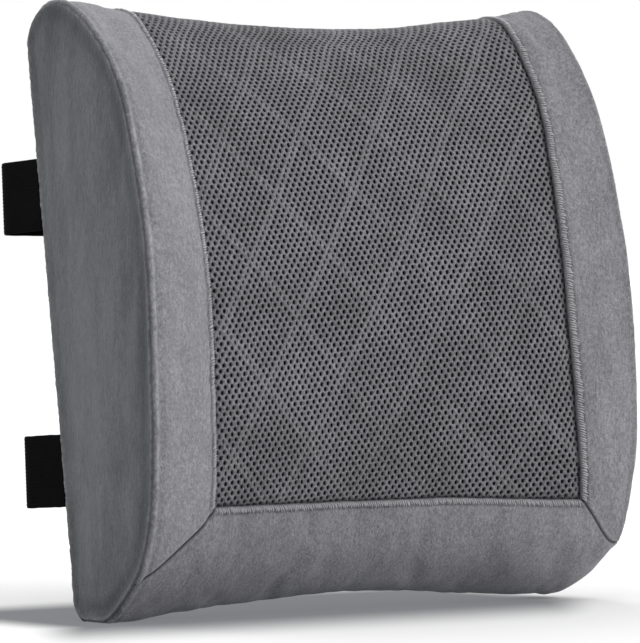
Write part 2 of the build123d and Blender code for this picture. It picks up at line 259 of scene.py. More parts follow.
def N(nt, kind, **kw):
    n = nt.nodes.new(kind)
    for k, v in kw.items():
        if k.startswith("in_"):
            n.inputs[k[3:].replace("_", " ")].default_value = v
        else:
            setattr(n, k, v)
    return n


def ramp(nt, src, stops):
    r = nt.nodes.new("ShaderNodeValToRGB")
    el = r.color_ramp.elements
    while len(el) > 1:
        el.remove(el[-1])
    for i, (p, c) in enumerate(stops):
        e = el[0] if i == 0 else el.new(p)
        e.position = p
        e.color = (*c, 1) if len(c) == 3 else c
    nt.links.new(src, r.inputs[0])
    return r.outputs[0]


def math_node(nt, op, a, b=None, c=None, clamp=False):
    n = nt.nodes.new("ShaderNodeMath")
    n.operation = op
    n.use_clamp = clamp
    for i, s in enumerate((a, b, c)):
        if s is None:
            continue
        if isinstance(s, (int, float)):
            n.inputs[i].default_value = s
        else:
            nt.links.new(s, n.inputs[i])
    return n.outputs[0]


def mixc(nt, fac, a, b, mode="MIX"):
    n = nt.nodes.new("ShaderNodeMix")
    n.data_type = "RGBA"
    n.blend_type = mode
    for s, idx in ((fac, 0), (a, 6), (b, 7)):
        if isinstance(s, (int, float)):
            n.inputs[idx].default_value = s
        elif isinstance(s, tuple):
            n.inputs[idx].default_value = (*s, 1) if len(s) == 3 else s
        else:
            nt.links.new(s, n.inputs[idx])
    return n.outputs[2]


def coords(nt, scale=(1, 1, 1), rot=(0, 0, 0)):
    tc = nt.nodes.new("ShaderNodeTexCoord")
    mp = nt.nodes.new("ShaderNodeMapping")
    mp.inputs["Scale"].default_value = scale
    mp.inputs["Rotation"].default_value = rot
    nt.links.new(tc.outputs["Object"], mp.inputs[0])
    return mp.outputs[0]


def noise(nt, vec, scale, detail=3.0, rough=0.6, dist=0.0):
    n = nt.nodes.new("ShaderNodeTexNoise")
    n.inputs["Scale"].default_value = scale
    n.inputs["Detail"].default_value = detail
    n.inputs["Roughness"].default_value = rough
    n.inputs["Distortion"].default_value = dist
    nt.links.new(vec, n.inputs["Vector"])
    return n.outputs["Fac"]


def bump(nt, height, dist, strength=1.0, prev=None):
    b = nt.nodes.new("ShaderNodeBump")
    b.inputs["Distance"].default_value = dist
    b.inputs["Strength"].default_value = strength
    nt.links.new(height, b.inputs["Height"])
    if prev is not None:
        nt.links.new(prev, b.inputs["Normal"])
    return b.outputs[0]


def attr(nt, name):
    a = nt.nodes.new("ShaderNodeAttribute")
    a.attribute_name = name
    return a.outputs["Fac"]


def velour(name, dark, mid, light, streak=0.35, sheen=0.5, nap=0.34):
    """Short-pile velour: fine grain, soft brushed areas, painted highlight on raised seams and painted shade in
    grooves.
    """
    m, nt, b = new_mat(name)
    v = coords(nt)
    vp = coords(nt, (1.0, 1.0, nap))
    vs = coords(nt, (1.0, 1.0, nap * 0.7))
    grain = noise(nt, vp, 640.0, 3.0, 0.8)
    speck = noise(nt, v, 1050.0, 2.0, 0.75)
    fine = noise(nt, v, 2200.0, 2.0, 0.6)
    brushed = noise(nt, vs, 85.0, 4.0, 0.62, 0.6)
    big = noise(nt, vs, 15.0, 3.0, 0.55, 0.8)
    g = math_node(nt, "MULTIPLY", grain, 0.62)
    g = math_node(nt, "MULTIPLY_ADD", speck, 0.40, g)
    g = math_node(nt, "MULTIPLY_ADD", brushed, streak, g)
    g = math_node(nt, "MULTIPLY_ADD", big, streak, g)
    g = math_node(nt, "DIVIDE", g, 1.02 + 2.0 * streak)
    col = ramp(nt, g, [(0.41, dark), (0.5, mid), (0.59, light)])
    shade = attr(nt, "shade")                       # 0.5 is neutral
    lift = math_node(nt, "MULTIPLY_ADD", shade, 2.0, -1.0)
    up = math_node(nt, "MAXIMUM", lift, 0.0)
    dn = math_node(nt, "MAXIMUM", math_node(nt, "MULTIPLY", lift, -1.0), 0.0)
    # painted light and shade: the shade attribute above 0.5 lifts the colour towards a painted highlight, below 0.5
    # darkens it towards painted shade
    col = mixc(nt, math_node(nt, "MULTIPLY", up, 0.75, clamp=True), col, tuple(min(1, c * 1.9) for c in light))
    col = mixc(nt, math_node(nt, "MULTIPLY", dn, 0.95, clamp=True), col, tuple(c * 0.10 for c in dark))
    nt.links.new(col, b.inputs["Base Color"])
    r = math_node(nt, "MULTIPLY_ADD", grain, 0.2, 0.72, clamp=True)
    nt.links.new(r, b.inputs["Roughness"])
    b.inputs["Sheen Weight"].default_value = sheen
    b.inputs["Sheen Roughness"].default_value = 0.42
    b.inputs["Sheen Tint"].default_value = (0.86, 0.87, 0.92, 1)
    b.inputs["Specular IOR Level"].default_value = 0.10
    h = math_node(nt, "MULTIPLY_ADD", fine, 0.4, math_node(nt, "MULTIPLY_ADD", speck, 0.6, grain))
    n1 = bump(nt, h, 0.0007, 1.0)
    n2 = bump(nt, brushed, 0.0012, 0.4, n1)
    nt.links.new(n2, b.inputs["Normal"])
    return m


VEL = velour("velour_front", (0.112, 0.111, 0.120), (0.172, 0.171, 0.182), (0.250, 0.249, 0.262), 0.20, 0.30, 0.62)
VELS = velour("velour_side", (0.060, 0.063, 0.068), (0.088, 0.091, 0.097), (0.122, 0.125, 0.131), 0.60, 0.16)


def mesh_mat():
    m, nt, b = new_mat("air_mesh_knit")
    v = coords(nt)
    vk = coords(nt, (1.0, 1.0, 0.42))
    yarn = noise(nt, vk, 1150.0, 3.0, 0.75)
    tone = noise(nt, v, 28.0, 2.0, 0.5)
    line = attr(nt, "line")
    g = math_node(nt, "MULTIPLY_ADD", yarn, 0.8, math_node(nt, "MULTIPLY", tone, 0.2))
    col = ramp(nt, g, [(0.34, (0.060, 0.0595, 0.065)), (0.5, (0.136, 0.135, 0.146)), (0.66, (0.260, 0.257, 0.276))])
    col = mixc(nt, math_node(nt, "MULTIPLY", line, 0.20, clamp=True), col, (0.26, 0.26, 0.27))
    # painted shade: near-black down the hole walls, along the panel's edges and towards its lower end
    painted_shade = attr(nt, "painted_shade")
    col = mixc(nt, math_node(nt, "MULTIPLY", painted_shade, 0.95, clamp=True), col, (0.008, 0.008, 0.009))
    nt.links.new(col, b.inputs["Base Color"])
    r = math_node(nt, "MULTIPLY_ADD", yarn, 0.25, 0.52, clamp=True)
    nt.links.new(r, b.inputs["Roughness"])
    b.inputs["Specular IOR Level"].default_value = 0.22
    b.inputs["Sheen Weight"].default_value = 0.05
    nt.links.new(bump(nt, yarn, 0.0006, 1.0), b.inputs["Normal"])
    return m


MESHM = mesh_mat()


def cloth_mat(name, c0, c1, scale=900.0, rough=0.8, squash=(1, 1, 1), sheen=0.1, dist=0.0002, spec=0.2):
    m, nt, b = new_mat(name)
    v = coords(nt, squash)
    w = noise(nt, v, scale, 3.0, 0.7)
    t = noise(nt, coords(nt), 45.0, 2.0, 0.5)
    g = math_node(nt, "MULTIPLY_ADD", w, 0.75, math_node(nt, "MULTIPLY", t, 0.25))
    nt.links.new(ramp(nt, g, [(0.3, c0), (0.7, c1)]), b.inputs["Base Color"])
    nt.links.new(math_node(nt, "MULTIPLY_ADD", w, 0.2, rough - 0.1, clamp=True), b.inputs["Roughness"])
    b.inputs["Sheen Weight"].default_value = sheen
    b.inputs["Specular IOR Level"].default_value = spec
    nt.links.new(bump(nt, w, dist, 0.8), b.inputs["Normal"])
    return m


LINER = cloth_mat("liner_spacer", (0.004, 0.004, 0.005), (0.016, 0.016, 0.018), 700.0, 0.9)
THREAD = cloth_mat("stitch_thread", (0.23, 0.23, 0.24), (0.53, 0.53, 0.55), 2400.0, 0.6, (1, 1, 0.5), 0.1)
THREAD_DARK = cloth_mat("tack_thread", (0.010, 0.010, 0.011), (0.035, 0.035, 0.037), 2200.0, 0.55, (1, 1, 1), 0.1)
WEB = cloth_mat("elastic_webbing", (0.0010, 0.0010, 0.0011), (0.0046, 0.0046, 0.0051), 1300.0, 0.88, (0.5, 0.5, 1), 0.0, 0.00025, 0.02)
TAPE = cloth_mat("zipper_tape", (0.035, 0.035, 0.038), (0.075, 0.075, 0.080), 1600.0, 0.8, (0.4, 1, 1))
COIL = cloth_mat("zipper_coil", (0.025, 0.025, 0.027), (0.055, 0.055, 0.058), 900.0, 0.38, (1, 1, 1), 0.0, 0.00003, 0.45)


def plastic(name, c0, c1, rough=0.42, metal=0.0, edge_highlight=0.35):
    m, nt, b = new_mat(name)
    v = coords(nt)
    fine = noise(nt, v, 1700.0, 3.0, 0.65)
    soft = noise(nt, v, 60.0, 3.0, 0.55)
    g = math_node(nt, "MULTIPLY_ADD", fine, 0.5, math_node(nt, "MULTIPLY", soft, 0.5))
    col = ramp(nt, g, [(0.3, c0), (0.7, c1)])
    # painted highlight: lighter on sharp convex edges
    geo = nt.nodes.new("ShaderNodeNewGeometry")
    edge = ramp(nt, geo.outputs["Pointiness"], [(0.505, (0, 0, 0)), (0.56, (1, 1, 1))])
    col = mixc(nt, math_node(nt, "MULTIPLY", edge, edge_highlight, clamp=True), col, tuple(min(1, c * 4 + 0.02) for c in c1))
    nt.links.new(col, b.inputs["Base Color"])
    nt.links.new(math_node(nt, "MULTIPLY_ADD", soft, 0.22, rough - 0.1, clamp=True), b.inputs["Roughness"])
    b.inputs["Metallic"].default_value = metal
    b.inputs["Specular IOR Level"].default_value = 0.28
    nt.links.new(bump(nt, fine, 0.00006, 0.8), b.inputs["Normal"])
    return m


BUCKLE = plastic("buckle_acetal", (0.008, 0.008, 0.009), (0.020, 0.020, 0.022), 0.42)
METAL = plastic("slider_metal", (0.05, 0.05, 0.053), (0.12, 0.12, 0.125), 0.36, 0.9, 0.5)

# ------------------------------------------------------------------ the fitted surface: base form, soft right edge, puff and seams
E_T = np.array([0, 30, 40, 53, 67, 84, 99, 116, 133, 175, 195, 217, 237, 247, 268, 287, 304, 321, 337, 366, 389, 434], float)
E_V = np.array([0.5, 0.8, 1.2, 2.6, 4.8, 4.9, 3.3, 1.0, 0.4, 0.6, 1.6, 3.0, 4.0, 4.8, 5.0, 5.6, 7.0, 7.4, 6.7, 6.0, 6.0, 5.0])
D_T = np.array([0, 92, 117, 131, 153, 175, 198, 217, 238, 248, 265, 280, 295, 313, 335, 355, 390, 434], float)
D_V = np.array([4.0, 4.6, 1.8, 0.7, -0.7, -2.6, -3.8, -3.6, -2.8, -2.2, -0.8, 0.3, 1.8, 2.9, 3.8, 4.6, 6.0, 6.0])
MITRE_R = np.array([(MH, float(t60(MH))), (129.5, 84.0), (138.5, 77.0), (149.0, 69.0), (161.0, 59.5), (HW, 56.0)])
_ts = np.linspace(0, 434.3, 800)
_es = smooth(np.interp(_ts, E_T, E_V), 41)
_dl = smooth(np.interp(_ts, D_T, D_V), 41)


def edge_in(t):
    """How far the soft right edge comes in."""
    return np.interp(t, _ts, _es)


def warp_x(t, x):
    tent = np.where(x < MH, sstep(55.0, MH, x), 1 - sstep(MH, 160.0, x))
    return -edge_in(t) * sstep(120.0, HW, x) + np.interp(t, _ts, _dl) * tent * (x > 0)


def t_seam(x):
    """The mitres at each side and the bottom seam between them."""
    ax = np.abs(x)
    left = np.interp(ax, MITRE[:, 0], MITRE[:, 1])
    right = np.interp(ax, MITRE_R[:, 0], MITRE_R[:, 1])
    return np.where(ax <= MH, t60(x), np.where(np.asarray(x) < 0, left, right))


def settle(P):
    """The slack of the filled cover: the lower right corner rides up, the top right stands a little fuller."""
    P = np.array(P, float)
    x, z = P[..., 0], P[..., 2]
    a = np.clip((x - 139.0) / 25.0, 0.0, 0.93)
    round_up = 25.0 * (1 - np.sqrt(1 - a * a)) + 2.0 * sstep(105.0, 142.0, x)
    P[..., 2] = z + round_up * (1 - sstep(0.0, 50.0, z)) + 3.0 * sstep(40.0, 140.0, x) * sstep(285.0, 316.0, z)
    P[..., 2] = np.maximum(P[..., 2], 0.05)
    return P


SIM = None          # low-frequency swelling of the cover from the cloth simulation, on a (t, x) grid


def swell(t, x):
    if SIM is None:
        return 0.0
    ti, xi, val = SIM
    a = np.clip((np.asarray(t, float) - ti[0]) / (ti[1] - ti[0]), 0, len(ti) - 1.001)
    b = np.clip((np.asarray(x, float) - xi[0]) / (xi[1] - xi[0]), 0, len(xi) - 1.001)
    ia, ib = np.floor(a).astype(int), np.floor(b).astype(int)
    fa, fb = a - ia, b - ib
    return ((val[ia, ib] * (1 - fa) + val[ia + 1, ib] * fa) * (1 - fb)
            + (val[ia, ib + 1] * (1 - fa) + val[ia + 1, ib + 1] * fa) * fb)


def surf(t, x, h=0.0):
    t, x = np.broadcast_arrays(np.asarray(t, float), np.asarray(x, float))
    p = base(t, x)
    n = normal(t, x)
    p[..., 0] += warp_x(t, x)
    hh = np.asarray(h + swell(t, x) * 1.0)
    return p + n * hh[..., None]


def cols(a, b, fine=0.55, coarse=2.4, reach=8.0):
    """Positions from a to b, close together within reach of both ends."""
    out = [a]
    s = 1 if b > a else -1
    while (b - out[-1]) * s > 0:
        d = min(abs(out[-1] - a), abs(b - out[-1]))
        out.append(out[-1] + s * (fine + (coarse - fine) * float(sstep(reach * 0.6, reach * 1.6, d))))
    out[-1] = b
    if abs(out[-1] - out[-2]) < 0.2:
        out.pop(-2)
    return np.array(out)


def side_ridge(d, t, seed):
    """Height, painted highlight and painted shade of the puckered seam allowance, d from the seam."""
    pk = 0.5 + 0.45 * noise2(t / 1.25, d * 0 + seed, 11) + 0.25 * noise2(t / 3.4, d / 2 + seed + 9, 12)
    ridge = np.exp(-((d - 1.75) / 1.0) ** 2)
    valley = np.exp(-((d - 4.8) / 1.7) ** 2)
    groove = np.exp(-(d / 0.80) ** 2)
    h = ridge * (0.50 + 0.62 * pk) - 0.26 * valley * (0.6 + 0.8 * pk) - 1.5 * groove
    # painted highlight on the puckered ridge, painted shade in the groove and the valley
    sh = 0.5 + ridge * (0.07 + 0.34 * (pk - 0.45)) - 0.47 * groove - 0.05 * valley
    return h, sh


def mesh_ridge(d, t, seed):
    """Height and painted shade of the stitched edge beside the mesh, d from the edge."""
    pk = noise2(t / 1.1, d * 0 + seed, 13)
    fold = sstep(0.0, 0.9, d)
    ridge = np.exp(-((d - 2.0) / 1.35) ** 2)
    dent = np.exp(-((d - 3.9) / 0.7) ** 2)
    h = -1.6 * (1 - fold) + ridge * (0.45 + 0.30 * pk) - dent * 0.42 * (0.7 + 0.6 * pk)
    # painted shadow along the fold at the mesh, painted shade in the stitch dents and, unevenly, on the ridge
    sh = 0.5 - 0.44 * (1 - sstep(0.0, 0.6, d)) - ridge * (0.06 - 0.10 * pk) - dent * (0.12 + 0.22 * np.maximum(pk, 0))
    return h, sh


def velour_panel(name, T2, X2, d_side, d_mesh, d_mitre, seed, flip, tone=0.0):
    h1, s1 = side_ridge(d_side, T2, seed)
    h2, s2 = mesh_ridge(d_mesh, T2 + X2, seed + 3)
    gm = np.exp(-(d_mitre / 0.75) ** 2) * (0.35 + 0.65 * sstep(0.5, 6.0, d_side))
    lip = np.exp(-((d_mitre - 1.8) / 1.3) ** 2)
    mid = np.minimum(np.minimum(d_side, d_mesh), d_mitre * 1.2)
    puff = CROWN * sstep(0.5, 16.0, mid)
    wr = 0.34 * noise2(T2 / 23.0, X2 / 19.0 + seed, 21) + 0.18 * noise2(T2 / 8.5, X2 / 7.0 + seed, 22)
    tug = 0.16 * noise2(T2 / 3.4, X2 * 0 + seed, 23) * np.exp(-(np.minimum(d_side, d_mesh) / 7.0))
    h = 0.25 + h1 + h2 + puff + wr * sstep(2, 12, mid) + tug - 1.15 * gm + 0.22 * lip
    # painted shade in the mitre groove, a faint painted highlight on its lip; tone is each panel's painted light and
    # shade
    sh = s1 + s2 - 0.5 - 0.44 * gm + 0.035 * lip + tone
    P = surf(T2, X2, h)
    P = settle(P)
    nr, nc = T2.shape
    ob = mesh_piece(name, P, grid_faces(nr, nc, flip), attrs={"shade": np.clip(sh, 0, 1)})
    return ob


def simulate():
    """Cloth, sewn down along its seams and blown up a little: how far each point of the cover swells, in mm."""
    nt_, nx_ = 100, 68
    ti, xi = np.linspace(0, TT_END, nt_), np.linspace(-HW, HW, nx_)
    X, Tt = np.meshgrid(xi, ti)
    P0 = base(Tt, X)
    nv = normal(Tt, X)
    ob = mesh_piece("cover_cloth", P0, grid_faces(nt_, nx_))
    PIECES.pop("cover_cloth")
    seam = t_seam(X)
    d = np.minimum(np.minimum(HW - np.abs(X), np.minimum(Tt, TT_END - Tt)), np.abs(Tt - seam))
    d = np.minimum(d, np.where(Tt >= seam, np.abs(np.abs(X) - MH), 99.0))
    pins = np.nonzero((d < 2.6).ravel())[0].tolist()
    vg = ob.vertex_groups.new(name="pin")
    vg.add(pins, 1.0, "REPLACE")
    md = ob.modifiers.new("cloth", "CLOTH")
    st = md.settings
    st.quality = 6
    st.mass = 0.02
    st.tension_stiffness = 6.0
    st.compression_stiffness = 6.0
    st.shear_stiffness = 3.0
    st.bending_stiffness = 0.15
    st.shrink_min = -0.012
    st.use_pressure = True
    st.uniform_pressure_force = 4.0
    st.effector_weights.gravity = 0.0
    st.vertex_group_mass = "pin"
    md.collision_settings.use_collision = False
    md.collision_settings.use_self_collision = False
    md.point_cache.frame_start = 1
    md.point_cache.frame_end = 20
    for f in range(1, 21):
        SC.frame_set(f)
    ev = ob.evaluated_get(bpy.context.evaluated_depsgraph_get())
    me_ = ev.to_mesh()
    co = np.empty(nt_ * nx_ * 3, np.float32)
    me_.vertices.foreach_get("co", co)
    ev.to_mesh_clear()
    SC.frame_set(1)
    bpy.data.objects.remove(ob, do_unlink=True)
    D = ((co.reshape(nt_, nx_, 3) * 1000.0 - P0) * nv).sum(-1)
    print("cloth swell mm: min %.2f mean %.2f p95 %.2f max %.2f" % (D.min(), D.mean(), np.percentile(D, 95), D.max()))
    in_mesh = (np.abs(X) < MH) & (Tt > seam)
    cap = np.where(in_mesh, 4.0, 2.6)
    D = cap * np.tanh(D / cap)
    D = np.where(in_mesh, (D - D[in_mesh].mean()) * 0.40 * (1 - sstep(235.0, 320.0, Tt)), D)
    # finer grid, softened, so that it shades smoothly
    tf, xf = np.linspace(0, TT_END, 360), np.linspace(-HW, HW, 274)
    G = np.array([np.interp(xf, xi, row) for row in D])
    G = np.array([np.interp(tf, ti, G[:, c_]) for c_ in range(G.shape[1])]).T
    kk = np.hanning(9)
    kk /= kk.sum()
    for ax in (0, 1):
        G = np.apply_along_axis(lambda a_: np.convolve(np.pad(a_, 4, mode="edge"), kk, "valid"), ax, G)
    return tf, xf, G


SIM = simulate()
CROWN = 1.15 if SIM is None else 0.35

# side borders
borders = {}
for side, sg in (("left", -1), ("right", 1)):
    cx = cols(HW, MH)
    X2 = np.broadcast_to(sg * cx[None, :], (340, len(cx))).copy()
    s = np.linspace(0, 1, 340)
    s = np.r_[np.linspace(0, 0.012, 9)[:-1], np.linspace(0.012, 1, 332)]
    ts = t_seam(sg * cx)
    T2 = ts[None, :] + s[:, None] * (TT_END - ts[None, :])
    slope = 0.72 if side == "left" else 0.80
    # tone: painted light brightens the left border; on the right, painted shade darkens the strip beside the mesh and
    # the upper end
    ob = velour_panel(f"cover_border_{side}", T2, X2, HW - np.abs(X2), np.abs(X2) - MH, (T2 - ts[None, :]) * slope, 5 if sg < 0 else 40, flip=sg > 0,
                      tone=0.045 if sg < 0 else 0.006 - 0.045 * np.exp(-((np.abs(X2) - MH) / 8.0) ** 2) - 0.03 * sstep(290.0, 390.0, T2))
    borders[side] = done(ob, "cushion", "velour", VEL, f"border_{side}")

# bottom border, round the lower edge to the base's rear
cx = np.r_[-cols(HW, MH, 0.6, 1.6, 12.0), np.linspace(-MH, MH, 150)[1:-1], cols(HW, MH, 0.6, 1.6, 12.0)[::-1]]
s = 1 - cols(0.0, 1.0, 0.006, 0.011, 0.06)
ts = t_seam(cx)
T2 = s[:, None] * ts[None, :]
X2 = np.broadcast_to(cx[None, :], T2.shape).copy()
dd = ts[None, :] - T2
inside = (np.abs(X2) <= MH)
d_mesh = np.where(inside, dd, np.hypot(dd, np.abs(X2) - MH) + 40 * (np.abs(X2) > MH + 3))
d_mitre = np.where(inside, 90.0, dd * 0.72)
# tone: painted shade darkens the bottom border, less towards the right
ob = velour_panel("cover_border_bottom", T2, X2, HW - np.abs(X2), d_mesh, d_mitre, 77, flip=True, tone=-0.066 + 0.042 * sstep(-40.0, 140.0, X2))
borders["bottom"] = done(ob, "cushion", "velour", VEL, "border_bottom")

# ------------------------------------------------------------------ air mesh, knitted holes in real geometry
A1 = np.array([-2.451, 2.550])
A2 = np.array([1.990, 3.004])
NODE0 = np.array([13.76, 139.6])
NA = np.array([26.3, 2.57])
NB = np.array([-2.39, 33.3])
_inv = np.linalg.inv(np.stack([NA, NB], 1))


def line_at(x, v):
    """1 on the diamond lines, 0 away from them; also the line's lean."""
    p = _inv[0, 0] * (x - NODE0[0]) + _inv[0, 1] * (v - NODE0[1])
    q = _inv[1, 0] * (x - NODE0[0]) + _inv[1, 1] * (v - NODE0[1])
    w = 0.35 * noise2(x / 9.0, v / 9.0, 31)
    a = (p - q) / 2
    b = (p + q) / 2
    da = np.abs(a - np.round(a)) * 40.9
    db = np.abs(b - np.round(b)) * 42.0
    d = np.minimum(da, db) + w * 0.6
    return np.exp(-(d / 1.45) ** 2), np.where(da < db, 1.0, -1.0)


VMAX = TT_END - t_at_z(60, 0.0) + 2.0
_n = 90
ii, jj = np.meshgrid(np.arange(-_n, _n), np.arange(-_n, _n), indexing="ij")
cen = ii[..., None] * A1 + jj[..., None] * A2 + np.array([0.7, 150.0])
keep = (np.abs(cen[..., 0]) < MH + 0.6) & (cen[..., 1] > -0.8) & (cen[..., 1] < VMAX + 1.0)
ii, jj, cen = ii[keep], jj[keep], cen[keep]
# six neighbours by angle, in lattice coordinates times 6
nb = np.array([(-1, 1), (0, 1), (1, 0), (1, -1), (0, -1), (-1, 0)])
off = []
for k in range(6):
    off.append(nb[k] * 3)
    off.append((nb[k] + nb[(k + 1) % 6]) * 2)
off = np.array(off)                                  # 12 outer points, in sixths
off_xy = off[:, :1] / 6 * A1 + off[:, 1:] / 6 * A2
ang = np.arctan2(off_xy[:, 1], off_xy[:, 0])
mesh_objs = []
for name, part in (("air_mesh_left", cen[:, 0] < 0), ("air_mesh_right", cen[:, 0] >= 0)):
    ci, cj, cc = ii[part], jj[part], cen[part]
    n = len(cc)
    key = np.stack([ci[:, None] * 6 + off[None, :, 0], cj[:, None] * 6 + off[None, :, 1]], -1).reshape(-1, 2)
    uk, idx = np.unique(key, axis=0, return_inverse=True)
    idx = idx.reshape(n, 12)
    outer = uk[:, :1] / 6 * A1 + uk[:, 1:] / 6 * A2 + np.array([0.7, 150.0])
    ln, lean_s = line_at(cc[:, 0], cc[:, 1])
    j1 = noise2(ci * 0.731, cj * 0.377, 41)
    j2 = noise2(ci * 0.531 + 40, cj * 0.677, 42)
    rx = (1.00 + 0.07 * j1) * (1 - 0.36 * ln)
    ry = (1.30 + 0.08 * j2) * (1 + 0.08 * ln)
    tilt = (-0.12 + 0.10 * j1) + ln * 0.25 * -lean_s
    ca, sa = np.cos(ang)[None, :], np.sin(ang)[None, :]
    rr = 1.0 / np.sqrt((ca / rx[:, None]) ** 2 + (sa / ry[:, None]) ** 2)
    ex, ey = rr * ca, rr * sa
    ct, st = np.cos(tilt)[:, None], np.sin(tilt)[:, None]
    ex, ey = ex * ct - ey * st, ex * st + ey * ct
    jc = np.stack([noise2(ci * 0.9, cj * 0.8, 43), noise2(ci * 0.8 + 7, cj * 0.9, 44)], -1) * 0.10
    ctr = cc + jc
    rim = np.stack([ctr[:, :1] + ex, ctr[:, 1:] + ey], -1)
    low = np.stack([ctr[:, :1] + ex * 0.9, ctr[:, 1:] + ey * 0.9], -1)
    allp = np.concatenate([outer, rim.reshape(-1, 2), low.reshape(-1, 2)])
    lo, _ = line_at(outer[:, 0], outer[:, 1])
    h = np.concatenate([0.16 + 0.24 * lo + 0.12 * noise2(outer[:, 0] / 1.3, outer[:, 1] / 2.1, 45),
                        np.full(n * 12, -0.22) + np.repeat(0.2 * ln, 12), np.full(n * 12, -1.15)])
    lat = np.concatenate([lo, np.repeat(ln, 12) * 0.7, np.zeros(n * 12)])
    # painted shade down each hole: part way at the rim, full at the wall's foot
    painted_shade = np.concatenate([np.zeros(len(outer)), np.full(n * 12, 0.42), np.full(n * 12, 1.0)])
    xx = np.clip(allp[:, 0], -MH - 1.6, MH + 1.6)
    v = np.clip(allp[:, 1], -1.6, VMAX + 0.5)
    tt = np.minimum(t60(xx) + v, TT_END - 0.2)
    big = 0.30 * noise2(xx / 30.0, v / 26.0, 46) + 0.10 * noise2(xx / 9.0, v / 9.0, 47)
    # the quilting sinks a little beside the stitched lines
    rimd = np.minimum(MH - np.abs(xx), v)
    sink = 1.3 * (1 - sstep(-0.5, 5.0, rimd))
    P = settle(surf(tt, xx, h * 0.8 - 0.35 + big - sink + 0.9 * sstep(225.0, 300.0, v)))
    # painted shadow along the stitched edges, and painted shade over the lower end
    painted_shade = np.maximum(painted_shade, 0.93 * (1 - sstep(0.3, 2.9, rimd)))
    painted_shade = np.maximum(painted_shade, 0.16 * (1 - sstep(5.0, 75.0, v)))
    no, n12 = len(outer), n * 12
    a = np.arange(12)
    b = (a + 1) % 12
    R = no + np.arange(n)[:, None] * 12
    W = no + n12 + np.arange(n)[:, None] * 12
    q1 = np.stack([idx[:, a], idx[:, b], R + b[None], R + a[None]], -1).reshape(-1, 4)
    q2 = np.stack([R + a[None], R + b[None], W + b[None], W + a[None]], -1).reshape(-1, 4)
    F = np.concatenate([q1, q2])
    # drop faces squeezed flat at the panel's edges
    e1 = np.linalg.norm(P[F[:, 0]] - P[F[:, 2]], axis=1)
    e2 = np.linalg.norm(P[F[:, 1]] - P[F[:, 3]], axis=1)
    F = F[(e1 > 1e-3) & (e2 > 1e-3)]
    ob = mesh_piece(name, P, F, attrs={"line": lat, "painted_shade": painted_shade})
    mesh_objs.append(done(ob, "cushion", "mesh", MESHM, "mesh_front_panel"))

# dark spacer knit behind the holes
tv = np.linspace(0, 1, 90)
xv = np.linspace(-MH - 2.0, MH + 2.0, 70)
t0 = t60(xv) - 2.0
T2 = t0[None, :] + tv[:, None] * (TT_END - 0.4 - t0[None, :])
X2 = np.broadcast_to(xv[None, :], T2.shape)
ob = mesh_piece("air_mesh_spacer", settle(surf(T2, X2, -2.1)), grid_faces(90, 70))
done(ob, "cushion", "mesh", LINER)

# ------------------------------------------------------------------ back panels
COSL, SINL = math.cos(LEAN), math.sin(LEAN)


def at_back(b, depth=0.0, x=0.0):
    """b up the back from the zipper's middle, depth out of it."""
    tz = (150.0 - 8.0) / COSL + b
    x = np.asarray(x, float) + 0 * np.asarray(b, float)
    y = 1.3 + YS + SINL * tz + depth * COSL
    z = 8.0 + COSL * tz - depth * SINL
    return np.stack([x, y + 0 * x, z + 0 * x], -1)


B_LOW = -(150.0 - 8.0) / COSL


